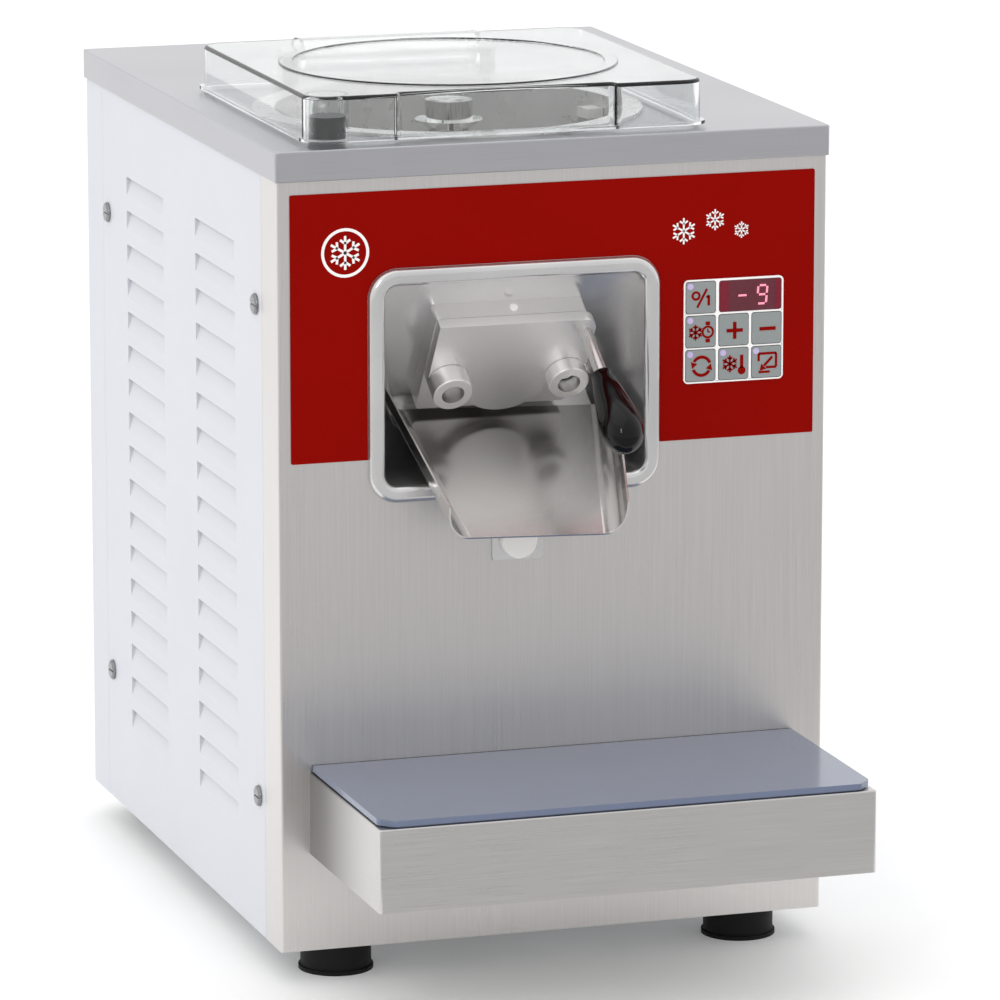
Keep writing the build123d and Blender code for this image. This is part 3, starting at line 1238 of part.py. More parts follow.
save("chassis", base_tray(), *frame_posts())
save("feet", *feet())
save("front_panel", front_panel())
save("rear_panel", rear_panel())
save("side_panel_left", side_panel(-1))
save("side_panel_right", side_panel(1))
save("panel_screws", *panel_screws())
save("top_cover", top_cover())
save("fascia_panel", fascia_panel())
save("cable_gland", cable_gland())
save("outlet_recess", outlet_recess())
save("freezing_cylinder", freezing_cylinder())
save("evaporator_coil", *evaporator_coil())
save("cylinder_insulation", cylinder_insulation())
save("outlet_block", outlet_block())
save("port_gasket", port_gasket())
save("detent_pin", detent_pin())
save("pivot_boss", boss(-1, PIVOT_HEAD_L))
save("stop_boss", boss(1, STOP_HEAD_L))
save("boss_screws", *boss_screws())
save("door_plate", door_plate())
save("lever_rod", lever_rod())
save("lever_grip", lever_grip())
save("chute", chute())
save("chute_rest", chute_rest())
save("shelf", shelf())
save("mat", mat())
save("leak_drawer", leak_drawer())
save("drawer_knob", drawer_knob())
save("drawer_guide", drawer_guide())
save("clear_cover", clear_cover())
save("cover_magnet", cover_magnet())
save("cover_hinges", *cover_hinges(), hinge_pin())
save("keypad_frame", keypad_frame())
save("display_window", display_window())
save("control_board", control_board())
for column, row in key_cells():
    save(f"key_{row + 1}{column + 1}", key(column, row))
save("drive_deck", drive_deck())
save("bearing_housing", bearing_housing(), *bearings())
save("shaft_seal", shaft_seal())
save("dasher_shaft", dasher_shaft())
save("dasher", dasher())
save("scraper_blades", *scraper_blades())
save("driven_pulley", driven_pulley())
save("motor_pulley", motor_pulley())
save("drive_belt", drive_belt())
save("gear_motor", gear_motor())
save("motor_plate", motor_plate())
save("compressor", compressor())
save("condenser", condenser())
save("fan_shroud", fan_shroud())
save("fan_motor", fan_motor())
save("fan_blades", fan_blades())
save("refrigerant_lines", *refrigerant_pipes())
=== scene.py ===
# %% [markdown]
# # A countertop batch freezer, finished for its picture
# The solid model comes in as a fixed frame: every sheet, screw and key is already in its place.
# This lesson gives those pieces their finishes, adds the fine work that a press, a printer or a
# moulder adds to the real machine, and sets up the floor, the lights and the camera.

# %% Load the machine
import bpy
import bmesh
import math
from mathutils import Matrix, Vector


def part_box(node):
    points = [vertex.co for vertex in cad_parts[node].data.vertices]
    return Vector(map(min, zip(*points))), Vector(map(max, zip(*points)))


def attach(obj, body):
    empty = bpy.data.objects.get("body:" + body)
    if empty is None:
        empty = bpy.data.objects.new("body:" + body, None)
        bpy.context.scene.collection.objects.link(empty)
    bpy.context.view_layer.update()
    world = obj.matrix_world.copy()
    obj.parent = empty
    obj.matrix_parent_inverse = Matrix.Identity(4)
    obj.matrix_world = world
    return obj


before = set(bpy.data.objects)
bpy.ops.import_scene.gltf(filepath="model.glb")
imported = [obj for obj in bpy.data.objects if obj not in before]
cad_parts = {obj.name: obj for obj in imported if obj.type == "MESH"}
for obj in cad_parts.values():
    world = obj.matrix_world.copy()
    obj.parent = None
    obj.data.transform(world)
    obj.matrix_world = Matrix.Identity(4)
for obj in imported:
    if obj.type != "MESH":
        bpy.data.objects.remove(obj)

scene = bpy.context.scene
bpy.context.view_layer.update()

# %% [markdown]
# ## Camera
# The machine is seen from its front left corner, a little above the lid, through a long lens, so
# its upright edges stay almost parallel. A camera can be placed by turning it by hand or by giving
# it a place and a line of sight. The line of sight is used here, because three numbers say it all.

# %% Camera
camera_data = bpy.data.cameras.new("camera")
camera = bpy.data.objects.new("camera", camera_data)
scene.collection.objects.link(camera)
camera_data.sensor_width = 36.0
camera_data.lens = 245.88
camera_data.clip_start = 0.1
camera_data.clip_end = 60.0
camera.location = (-1.26835, -3.99406, 1.14071)
sight = Vector((0.29961, 0.93148, -0.20632))
camera.rotation_mode = "QUATERNION"
camera.rotation_quaternion = sight.to_track_quat("-Z", "Y")
scene.camera = camera
print("camera looks down by", round(math.degrees(math.asin(-sight.normalized().z)), 1), "degrees")

# %% [markdown]
# ## Colours and patterns
# A finish is a shader with a pattern that drives it: the pattern decides where the surface is a
# little darker, rougher or lower. All patterns here are noise in the piece's own coordinates, so
# they need no unwrapping and stay on the piece when it moves. Four small helpers make them.

# %% Helpers for finishes
def tone(code):
    """A colour written as six hexadecimal digits, as the linear colour that shaders use."""
    channels = [int(code[i:i + 2], 16) / 255 for i in (0, 2, 4)]
    linear = [c / 12.92 if c <= 0.04045 else ((c + 0.055) / 1.055) ** 2.4 for c in channels]
    return (*linear, 1.0)


def new_finish(name, colour, rough, metal=0.0):
    """A material with its even values set on the shader itself."""
    material = bpy.data.materials.new(name)
    material.use_nodes = True
    shader = material.node_tree.nodes["Principled BSDF"]
    shader.inputs["Base Color"].default_value = colour
    shader.inputs["Roughness"].default_value = rough
    shader.inputs["Metallic"].default_value = metal
    return material, shader


def noise(material, stretch, detail=3.0, turn=(0.0, 0.0, 0.0)):
    """Noise in the piece's own coordinates; stretch is how many grains a metre holds each way."""
    nodes = material.node_tree.nodes
    links = material.node_tree.links
    place = nodes.new("ShaderNodeTexCoord")
    mapping = nodes.new("ShaderNodeMapping")
    mapping.inputs["Scale"].default_value = stretch
    mapping.inputs["Rotation"].default_value = turn
    texture = nodes.new("ShaderNodeTexNoise")
    texture.inputs["Scale"].default_value = 1.0
    texture.inputs["Detail"].default_value = detail
    links.new(place.outputs["Object"], mapping.inputs["Vector"])
    links.new(mapping.outputs["Vector"], texture.inputs["Vector"])
    return texture.outputs["Fac"]


def spread(material, pattern, low, high):
    """The pattern's middle range, spread out between two values."""
    node = material.node_tree.nodes.new("ShaderNodeMapRange")
    node.inputs["From Min"].default_value = 0.3
    node.inputs["From Max"].default_value = 0.7
    node.inputs["To Min"].default_value = low
    node.inputs["To Max"].default_value = high
    material.node_tree.links.new(pattern, node.inputs["Value"])
    return node.outputs["Result"]


def shade(material, pattern, dark, light):
    """A colour between dark and light, as the pattern says."""
    node = material.node_tree.nodes.new("ShaderNodeValToRGB")
    node.color_ramp.elements[0].position = 0.3
    node.color_ramp.elements[1].position = 0.7
    node.color_ramp.elements[0].color = dark
    node.color_ramp.elements[1].color = light
    material.node_tree.links.new(pattern, node.inputs["Fac"])
    return node.outputs["Color"]


def relief(material, shader, pattern, depth, strength=1.0):
    """Raises the surface by the pattern, on top of any relief it already has."""
    links = material.node_tree.links
    node = material.node_tree.nodes.new("ShaderNodeBump")
    node.inputs["Distance"].default_value = depth
    node.inputs["Strength"].default_value = strength
    links.new(pattern, node.inputs["Height"])
    if shader.inputs["Normal"].is_linked:
        links.new(shader.inputs["Normal"].links[0].from_socket, node.inputs["Normal"])
    links.new(node.outputs["Normal"], shader.inputs["Normal"])


def scaled(colour, factor):
    """The same colour, lighter or darker by factor."""
    return (*[min(1.0, c * factor) for c in colour[:3]], 1.0)


def tune(material, **values):
    """Sets even values on the shader; Coat_Weight stands for the socket Coat Weight."""
    shader = material.node_tree.nodes["Principled BSDF"]
    for socket, value in values.items():
        shader.inputs[socket.replace("_", " ")].default_value = value


print("a mid grey is", [round(c, 3) for c in tone("808080")])


# %% [markdown]
# ## Steel
# Most of the machine is stainless sheet. The mill drags an abrasive belt over it, which leaves
# hair-thin scratches that all run one way. They could be painted in a picture, but noise that is
# stretched fifty to one gives the same fine lines at any size. The scratches change the shine a
# little more than the colour, and hands and wiping leave faint broad clouds over them.

# %% Two recipes for steel
def brushed(name, colour, along, rough=0.3, grain=0.00002, contrast=0.05, turn=(0.0, 0.0, 0.0)):
    """Sheet steel whose grain runs along "x", "y" or "z" of the piece."""
    material, shader = new_finish(name, colour, rough, metal=1.0)
    fine = [1700.0, 1700.0, 1700.0]
    fine["xyz".index(along)] = 18.0
    hairs = noise(material, fine, detail=2.0, turn=turn)
    clouds = noise(material, (7.0, 7.0, 7.0), detail=3.0)
    links = material.node_tree.links
    links.new(
        shade(material, hairs, scaled(colour, 1 - contrast), scaled(colour, 1 + contrast)),
        shader.inputs["Base Color"],
    )
    add_up = material.node_tree.nodes.new("ShaderNodeMath")
    add_up.operation = "ADD"
    links.new(spread(material, hairs, rough - 0.05, rough + 0.05), add_up.inputs[0])
    links.new(spread(material, clouds, -0.025, 0.025), add_up.inputs[1])
    links.new(add_up.outputs[0], shader.inputs["Roughness"])
    relief(material, shader, hairs, grain)
    return material


def satin(name, colour, rough=0.3, cells=160.0, depth=0.00003, metal=1.0, contrast=0.05):
    """Metal or plastic with no grain direction: pressed, cast, blasted, painted or moulded."""
    material, shader = new_finish(name, colour, rough, metal)
    spots = noise(material, (cells, cells, cells), detail=3.0)
    clouds = noise(material, (14.0, 14.0, 14.0), detail=2.0)
    links = material.node_tree.links
    links.new(
        shade(material, clouds, scaled(colour, 1 - contrast), scaled(colour, 1 + contrast)),
        shader.inputs["Base Color"],
    )
    links.new(spread(material, spots, max(0.02, rough - 0.05), rough + 0.05), shader.inputs["Roughness"])
    if depth > 0:
        relief(material, shader, spots, depth)
    return material


print("brushed and satin recipes are ready")

# %% [markdown]
# ## The grades of steel on the machine
# Each sheet comes from its own batch and lies at its own angle, so no two are quite as bright. A
# single grey for all of them would be quicker, but the lid, the front, the shelf and the pressed
# parts each get a tone and a grain direction here, because that tells them apart.

# %% Steel finishes
front_steel = brushed("brushed_front", tone("D6D3D1"), "z", rough=0.33, grain=0.000012, contrast=0.035)
lid_steel = brushed("brushed_lid", tone("BBBBBF"), "x", rough=0.34, contrast=0.03)
shelf_steel = brushed("brushed_shelf", tone("CDCBC9"), "x", rough=0.32)
block_steel = brushed("fine_ground_steel", tone("EFEDEC"), "z", rough=0.36, grain=0.00001, contrast=0.03)
bright_steel = satin("bright_steel", tone("E4E3E2"), rough=0.1, cells=120.0, depth=0.0, contrast=0.03)
chute_steel = brushed("brushed_chute", tone("E2E0DE"), "y", rough=0.2, grain=0.00001, contrast=0.03,
                      turn=(math.radians(-31), 0.0, 0.0))
bowl_steel = satin("bowl_steel", tone("EEEDEC"), rough=0.3, cells=90.0, depth=0.0, metal=0.4,
                   contrast=0.05)
turned_steel = satin("turned_steel", tone("CBCAC9"), rough=0.2, cells=90.0, depth=0.0, contrast=0.03)
plated_steel = satin("plated_screws", tone("EDEDED"), rough=0.22, cells=300.0, depth=0.0, metal=0.6)
screw_steel = satin("screw_steel", tone("8E8E90"), rough=0.25, cells=300.0, depth=0.0, contrast=0.1)
machined = satin("machined_steel", tone("C8C7C5"), rough=0.26, cells=500.0, depth=0.0)
pressed_steel = satin("pressed_steel", tone("D9D8D8"), rough=0.2, cells=60.0, depth=0.0, metal=0.85,
                      contrast=0.08)
galvanised = satin("galvanised_sheet", tone("B9BBBD"), rough=0.42, cells=45.0, depth=0.00002, contrast=0.14)
copper = satin("copper_tube", tone("C98461"), rough=0.28, cells=200.0, depth=0.00002, contrast=0.1)
aluminium = satin("aluminium", tone("C9CBCD"), rough=0.38, cells=260.0, depth=0.00003)
print("steel finishes", len(bpy.data.materials))

# %% [markdown]
# ## Painted shade on the steel towards the back
# The chute and the shelf run in under the machine, where the steel has less and less to mirror.
# Lamps alone leave them too even, so a painted shade darkens their colour smoothly towards the
# back, in place of the darker reflection there. The fall is read from the piece's own length, so
# it stays put when the chute is pulled out.

# %% Painted shade towards the back
def paint_back_shade(material, axis, start, end, depth):
    """Painted shade: darkens the colour to depth from start to end along an axis of the piece, both in
    metres.
    """
    nodes = material.node_tree.nodes
    links = material.node_tree.links
    shader = nodes["Principled BSDF"]
    place = nodes.new("ShaderNodeTexCoord")
    split = nodes.new("ShaderNodeSeparateXYZ")
    ramp = nodes.new("ShaderNodeMapRange")
    ramp.interpolation_type = "SMOOTHSTEP"
    ramp.inputs["From Min"].default_value = start
    ramp.inputs["From Max"].default_value = end
    ramp.inputs["To Min"].default_value = 1.0
    ramp.inputs["To Max"].default_value = depth
    mix = nodes.new("ShaderNodeMix")
    mix.data_type = "RGBA"
    mix.blend_type = "MULTIPLY"
    mix.inputs[0].default_value = 1.0
    links.new(place.outputs["Object"], split.inputs["Vector"])
    links.new(split.outputs[axis], ramp.inputs["Value"])
    links.new(shader.inputs["Base Color"].links[0].from_socket, mix.inputs[6])
    links.new(ramp.outputs["Result"], mix.inputs[7])
    links.new(mix.outputs[2], shader.inputs["Base Color"])


# painted shade: the chute and the shelf darken towards the back, in place of the darker reflection there
chute_low, chute_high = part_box("chute")
paint_back_shade(chute_steel, "Y", chute_low[1] + 0.010, chute_high[1] - 0.012, 0.42)
shelf_low, shelf_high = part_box("shelf")
paint_back_shade(shelf_steel, "Y", shelf_low[1] + 0.010, shelf_high[1] - 0.020, 0.5)
print("the chute darkens over", round((chute_high[1] - chute_low[1]) * 1000), "mm")

# %% [markdown]
# ## Paint, plastic and rubber
# The side sheets are powder coated: the powder melts into a skin with a slight orange peel. The
# keypad, the mat and the grip are moulded, and the band round the keypad is a printed sheet.
# Each gets its own gloss and its own fine texture, because a hand tells them apart by that.

# %% Paint, plastic and rubber finishes
white_paint = satin("white_powder_coat", tone("D1D3D9"), rough=0.42, cells=900.0, depth=0.00006,
                    metal=0.0, contrast=0.012)
black_paint = satin("black_paint", tone("1C1C1E"), rough=0.4, cells=700.0, depth=0.00004, metal=0.0)
red_film = satin("red_printed_sheet", tone("8A0601"), rough=0.55, cells=1200.0, depth=0.00001,
                 metal=0.0, contrast=0.03)
tune(red_film, Specular_IOR_Level=0.03)
white_plastic = satin("white_plastic", tone("FAF7F6"), rough=0.4, cells=800.0, depth=0.00001,
                      metal=0.0, contrast=0.02)
black_plastic = satin("black_plastic", tone("151516"), rough=0.3, cells=500.0, depth=0.00002, metal=0.0)
black_rubber = satin("black_rubber", tone("0B0A0B"), rough=0.6, cells=900.0, depth=0.00006, metal=0.0)
mat_plastic = satin("mat_plastic", tone("67728B"), rough=0.2, cells=350.0, depth=0.00002,
                    metal=0.0, contrast=0.03)
key_plastic = satin("key_plastic", tone("8D9292"), rough=0.4, cells=1500.0, depth=0.00001,
                    metal=0.0, contrast=0.03)
foam = satin("insulating_foam", tone("D9C68E"), rough=0.8, cells=260.0, depth=0.0004, metal=0.0)
circuit_board = satin("circuit_board", tone("1F5B34"), rough=0.35, cells=400.0, depth=0.00003,
                      metal=0.0)
milky_plastic = satin("milky_plastic", tone("F0EDE9"), rough=0.32, cells=500.0, depth=0.00001,
                      metal=0.0, contrast=0.02)
tune(milky_plastic, Subsurface_Weight=0.15, Subsurface_Radius=(0.004, 0.004, 0.004))
grip_plastic = satin("grip_plastic", tone("060607"), rough=0.1, cells=240.0, depth=0.00001, metal=0.0)
for dull in (grip_plastic, black_rubber, black_plastic):
    tune(dull, Specular_IOR_Level=0.25)
tune(mat_plastic, Coat_Weight=0.4, Coat_Roughness=0.08)
print("finishes so far", len(bpy.data.materials))

# %% [markdown]
# ## Clear and lit plastic
# The lid over the bowl is polycarbonate. It bends light as glass does, so it needs a wall with two
# sides, which the solid model already has. The display is a dark red window with lit bars behind
# it. Light that comes from a surface is set as emission on the shader.

# %% Clear and lit finishes
clear_plastic, clear_shader = new_finish("clear_plastic", (0.97, 0.985, 0.985, 1.0), 0.03)
tune(clear_plastic, Transmission_Weight=1.0, IOR=1.45)
scuffs = noise(clear_plastic, (60.0, 60.0, 60.0), detail=4.0)
clear_plastic.node_tree.links.new(
    spread(clear_plastic, scuffs, 0.01, 0.05), clear_shader.inputs["Roughness"]
)
relief(clear_plastic, clear_shader, noise(clear_plastic, (9.0, 9.0, 9.0), detail=1.0), 0.0002)

display_plastic = satin("display_window", tone("66303A"), rough=0.25, cells=300.0, depth=0.00001,
                        metal=0.0, contrast=0.12)
tune(display_plastic, Specular_IOR_Level=0.2)
lit, lit_shader = new_finish("lit_bar", tone("C06078"), 0.4)
tune(lit, Emission_Color=tone("FF9DB2"), Emission_Strength=0.85)
lit.node_tree.links.new(
    shade(lit, noise(lit, (700.0, 700.0, 700.0)), tone("A0506A"), tone("C06880")),
    lit_shader.inputs["Base Color"],
)
red_ink = satin("red_ink", tone("860803"), rough=0.6, cells=1500.0, depth=0.00001,
                metal=0.0, contrast=0.06)
white_ink = satin("white_ink", tone("F6F3F1"), rough=0.45, cells=1500.0, depth=0.00001,
                  metal=0.0, contrast=0.02)
tune(red_ink, Specular_IOR_Level=0.03)
lamp_plastic = satin("lamp_dots", tone("C3B4DC"), rough=0.3, cells=600.0, depth=0.00001,
                     metal=0.0, contrast=0.05)
print("all finishes", len(bpy.data.materials))

# %% [markdown]
# ## Which piece gets which finish
# The table below reads like a parts list. A piece keeps its mesh, and only its material slot is
# filled, so the shape stays exactly as the solid model has it.

# %% Dress the pieces
wardrobe = {
    front_steel: ["front_panel"],
    lid_steel: ["top_cover"],
    shelf_steel: ["shelf"],
    bowl_steel: ["freezing_cylinder"],
    pressed_steel: ["outlet_recess", "leak_drawer", "drawer_guide", "chute_rest"],
    block_steel: ["outlet_block", "door_plate", "pivot_boss", "stop_boss"],
    chute_steel: ["chute"],
    screw_steel: ["panel_screws"],
    plated_steel: ["boss_screws"],
    bright_steel: ["dasher", "cover_hinges", "dasher_shaft"],
    turned_steel: ["lever_rod"],
    machined: ["bearing_housing", "driven_pulley", "motor_pulley"],
    galvanised: ["chassis", "drive_deck", "motor_plate", "fan_shroud"],
    white_paint: ["side_panel_left", "side_panel_right", "rear_panel"],
    black_paint: ["compressor", "gear_motor", "fan_motor"],
    red_film: ["fascia_panel"],
    white_plastic: ["keypad_frame", "scraper_blades", "detent_pin"],
    milky_plastic: ["drawer_knob"],
    black_plastic: ["cover_magnet", "cable_gland", "fan_blades"],
    black_rubber: ["feet", "port_gasket", "shaft_seal", "drive_belt"],
    grip_plastic: ["lever_grip"],
    mat_plastic: ["mat"],
    key_plastic: [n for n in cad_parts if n.startswith("key_")],
    display_plastic: ["display_window"],
    clear_plastic: ["clear_cover"],
    copper: ["evaporator_coil", "refrigerant_lines"],
    aluminium: ["condenser"],
    foam: ["cylinder_insulation"],
    circuit_board: ["control_board"],
}
dressed = set()
for finish_material, names in wardrobe.items():
    for name in names:
        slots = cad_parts[name].data.materials
        slots.clear()
        slots.append(finish_material)
        dressed.add(name)
print("dressed", len(dressed), "left bare", sorted(set(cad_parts) - dressed))

# %% [markdown]
# ## Eased edges
# A folded or milled edge is never a perfect corner. It is a few tenths of a millimetre round, and
# that small round catches the light as a thin bright line. A bevel that only acts on sharp corners
# draws it without touching the mesh below, after a weld has joined the loose triangles.

# %% Ease the edges
def ease(names, width):
    """A small round on every sharp corner of these pieces."""
    for name in names:
        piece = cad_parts[name]
        weld = piece.modifiers.new("weld", "WELD")
        weld.merge_threshold = 0.000005
        bevel = piece.modifiers.new("ease", "BEVEL")
        bevel.width = width
        bevel.segments = 2
        bevel.limit_method = "ANGLE"
        bevel.angle_limit = math.radians(50)
        bevel.use_clamp_overlap = True


ease(["top_cover", "shelf", "outlet_block", "door_plate"], 0.0006)
ease(["chute", "keypad_frame", "mat"], 0.0003)
print("eased", sum(1 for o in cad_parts.values() if o.modifiers))

# %% [markdown]
# ## Printed and lit marks
# The keypad is a printed film: each key has a simple sign in dark red and some have a small lamp.
# Ink has almost no thickness, so each sign is a plate two tenths of a millimetre thick that lies
# on the key. Bars, rings and discs are enough to draw all of them, so these three come first.

# %% Bars, rings and discs
STAND_UP = Matrix.Rotation(math.radians(90), 3, "X")


def moved(mesh, verts, turn, place):
    """Turns verts in the plane of the panel, then moves them to place."""
    bmesh.ops.rotate(mesh, verts=verts, cent=(0, 0, 0), matrix=Matrix.Rotation(turn, 3, "Y"))
    bmesh.ops.translate(mesh, verts=verts, vec=place)


def bar(mesh, start, end, width, depth=0.2):
    """A flat bar from start to end, both (x, z) in millimetres."""
    dx = end[0] - start[0]
    dz = end[1] - start[1]
    made = bmesh.ops.create_cube(mesh, size=1.0)["verts"]
    bmesh.ops.scale(mesh, verts=made, vec=(math.hypot(dx, dz), depth, width))
    middle = ((start[0] + end[0]) / 2, 0.0, (start[1] + end[1]) / 2)
    moved(mesh, made, -math.atan2(dz, dx), middle)


def ring(mesh, centre, radius, width, first=0.0, last=360.0, depth=0.2):
    """A flat ring, or an arc of one from angle first to angle last, in degrees from the right."""
    before = set(mesh.verts)
    edges_before = set(mesh.edges)
    section = bmesh.ops.create_grid(mesh, x_segments=1, y_segments=1, size=0.5)["verts"]
    bmesh.ops.scale(mesh, verts=section, vec=(width, depth, 1.0))
    bmesh.ops.translate(mesh, verts=section, vec=(radius, 0, 0))
    moved(mesh, section, -math.radians(first), (0, 0, 0))
    inner = [f for f in mesh.faces if section[0] in f.verts]
    bmesh.ops.delete(mesh, geom=inner, context="FACES_ONLY")
    whole = last - first >= 360.0
    bmesh.ops.spin(
        mesh, geom=section + [e for e in mesh.edges if e not in edges_before],
        cent=(0, 0, 0), axis=(0, -1, 0), dvec=(0, 0, 0), angle=math.radians(last - first),
        steps=40, use_merge=whole, use_duplicate=False,
    )
    if not whole:
        ends = [e for e in mesh.edges if e not in edges_before and e.is_boundary]
        bmesh.ops.holes_fill(mesh, edges=ends, sides=4)
    made = [v for v in mesh.verts if v not in before]
    bmesh.ops.translate(mesh, verts=made, vec=(centre[0], 0, centre[1]))


def disc(mesh, centre, radius, depth=0.2):
    """A flat disc."""
    made = bmesh.ops.create_cone(
        mesh, cap_ends=True, segments=24, radius1=radius, radius2=radius, depth=depth
    )["verts"]
    bmesh.ops.rotate(mesh, verts=made, cent=(0, 0, 0), matrix=STAND_UP)
    bmesh.ops.translate(mesh, verts=made, vec=(centre[0], 0, centre[1]))


def flat_piece(name, draw, x, front, z, material, body):
    """Draws a sign round (0, 0) in millimetres, then sets it on a face that looks to the front."""
    sheet = bmesh.new()
    draw(sheet)
    bmesh.ops.scale(sheet, verts=sheet.verts, vec=(0.001, 0.001, 0.001))
    bmesh.ops.translate(sheet, verts=sheet.verts, vec=(x, front, z))
    bmesh.ops.recalc_face_normals(sheet, faces=sheet.faces)
    mesh = bpy.data.meshes.new(name)
    sheet.to_mesh(mesh)
    sheet.free()
    mesh.materials.append(material)
    piece = bpy.data.objects.new(name, mesh)
    scene.collection.objects.link(piece)
    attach(piece, body)
    return piece


def centre_of(node):
    """The middle of a node's front face, as x, y and z."""
    low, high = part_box(node)
    return (low[0] + high[0]) / 2, low[1], (low[2] + high[2]) / 2


print("key 11 is centred at", [round(v, 4) for v in centre_of("key_11")])

# %% [markdown]
# ## Signs on the keys
# The signs say what each key does without a word: on and off, chill for a set time, more, less,
# stir, chill to a set temperature, and let the ice cream out. They are kept thick and plain,
# because they are less than a centimetre across and have to be read at arm's length.

# %% Arrow heads and snowflakes
def arrow(mesh, tip, angle, size=1.9, depth=0.2):
    """A three-sided arrow head that points along angle, in degrees from the right."""
    made = bmesh.ops.create_cone(
        mesh, cap_ends=True, segments=3, radius1=size, radius2=size, depth=depth
    )["verts"]
    bmesh.ops.rotate(mesh, verts=made, cent=(0, 0, 0), matrix=STAND_UP)
    far = max(made, key=lambda v: v.co.z)
    lean = math.degrees(math.atan2(far.co.z, far.co.x))
    moved(mesh, made, -math.radians(angle - lean), (tip[0], 0, tip[1]))


def snowflake(mesh, centre, radius, width):
    """Three bars crossed, each with a small fork near both ends."""
    for step in range(6):
        turn = math.radians(60 * step + 90)
        along = (math.cos(turn), math.sin(turn))
        end = (centre[0] + radius * along[0], centre[1] + radius * along[1])
        bar(mesh, centre, end, width)
        fork = (centre[0] + 0.55 * radius * along[0], centre[1] + 0.55 * radius * along[1])
        for side in (-55, 55):
            lean = turn + math.radians(side)
            reach = 0.38 * radius
            tip = (fork[0] + reach * math.cos(lean), fork[1] + reach * math.sin(lean))
            bar(mesh, fork, tip, width)


# %% Signs
def sign_power(mesh):
    ring(mesh, (-3.8, 1.6), 2.2, 1.4)
    bar(mesh, (-3.0, -5.6), (3.2, 5.6), 1.4)
    bar(mesh, (4.4, -4.6), (4.4, 1.6), 1.6)
    bar(mesh, (4.4, 1.6), (2.9, 0.2), 1.3)


def sign_chill_time(mesh):
    snowflake(mesh, (-4.0, 0.0), 4.8, 1.0)
    ring(mesh, (3.9, 0.0), 3.3, 1.3)
    bar(mesh, (3.9, 0.0), (3.9, 2.0), 0.8)
    bar(mesh, (3.9, 0.0), (5.4, 0.0), 0.8)
    bar(mesh, (2.5, 5.3), (5.3, 5.3), 2.2)
    bar(mesh, (2.5, -5.3), (5.3, -5.3), 2.2)


def sign_plus(mesh):
    bar(mesh, (-5.2, 0.0), (5.2, 0.0), 2.2)
    bar(mesh, (0.0, 0.9), (0.0, 5.2), 2.2)
    bar(mesh, (0.0, -0.9), (0.0, -5.2), 2.2)


def sign_minus(mesh):
    bar(mesh, (-5.2, 0.0), (5.2, 0.0), 2.2)


def sign_stir(mesh):
    ring(mesh, (0.0, 0.0), 5.6, 1.9, first=20, last=150)
    ring(mesh, (0.0, 0.0), 5.6, 1.9, first=200, last=330)
    arrow(mesh, (-5.2, 1.0), 250, size=2.5)
    arrow(mesh, (5.2, -1.0), 70, size=2.5)


def sign_chill_to(mesh):
    snowflake(mesh, (-3.0, 0.4), 5.2, 1.1)
    bar(mesh, (4.6, -2.4), (4.6, 5.6), 2.1)
    disc(mesh, (4.6, -4.0), 2.5)


def sign_serve(mesh):
    for start, end in (((-5.6, 5.6), (5.6, 5.6)), ((5.6, 5.6), (5.6, -3.0)),
                       ((5.6, -3.0), (-1.0, -3.0)), ((-5.6, 5.6), (-5.6, 1.0))):
        bar(mesh, start, end, 1.5)
    bar(mesh, (3.2, 3.4), (-2.2, -2.0), 1.6)
    arrow(mesh, (-3.2, -3.2), 225, size=2.6)
    bar(mesh, (-5.6, -5.8), (1.6, -5.8), 1.4)


INK_PROUD = 0.00005  # how far ink stands out from the face it is printed on, in metres
LAMP_INSET = 0.0026  # a lamp's centre, in from its key's left and top edges
signs = {"key_11": sign_power, "key_21": sign_chill_time, "key_22": sign_plus, "key_23": sign_minus,
         "key_31": sign_stir, "key_32": sign_chill_to, "key_33": sign_serve}
for key, draw in signs.items():
    x, front, z = centre_of(key)
    flat_piece("sign_" + key[4:], draw, x + 0.0006, front - INK_PROUD, z - 0.0004, red_ink,
               key)
keys_with_lamp = ("key_11", "key_21", "key_31", "key_32", "key_33")
for key in keys_with_lamp:
    low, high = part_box(key)
    flat_piece("lamp_" + key[4:], lambda mesh: disc(mesh, (0, 0), 1.95, depth=0.4),
               low[0] + LAMP_INSET, low[1] - 0.0001, high[2] - LAMP_INSET, lamp_plastic,
               key)
print("signs", len(signs), "lamps", len(keys_with_lamp))

# %% [markdown]
# ## The temperature display
# A seven-bar digit is the plainest way to show a number with light. Here it reads nine degrees
# below zero, a usual temperature for a batch of ice cream. The bars sit a hair in front of the
# dark window so that they look lit from behind it.

# %% Display bars
def digit_nine(mesh):
    """Six of the seven bars, leaned a little to the right."""
    half = 2.9
    tall = 5.6
    for level in (tall, 0.0, -tall):
        bar(mesh, (-half + 0.9, level), (half - 0.9, level), 1.3)
    for side, foot, head in (
        (-half, 0.8, tall - 0.6), (half, 0.8, tall - 0.6), (half, -tall + 0.6, -0.8)
    ):
        bar(mesh, (side, foot), (side, head), 1.3)
    lean = Matrix(((1, 0, 0.08, 0), (0, 1, 0, 0), (0, 0, 1, 0), (0, 0, 0, 1)))
    bmesh.ops.transform(mesh, verts=mesh.verts, matrix=lean)


low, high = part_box("display_window")
window_x = (low[0] + high[0]) / 2
window_z = (low[2] + high[2]) / 2
lit_front = low[1] - 0.00008
flat_piece("display_digit", digit_nine, window_x + 0.0075, lit_front, window_z, lit,
           "cabinet")
flat_piece("display_minus", lambda mesh: bar(mesh, (-2.6, 0.0), (2.6, 0.0), 1.2),
           window_x - 0.0052, lit_front, window_z, lit, "cabinet")
print("window", [round(v, 4) for v in low], [round(v, 4) for v in high])
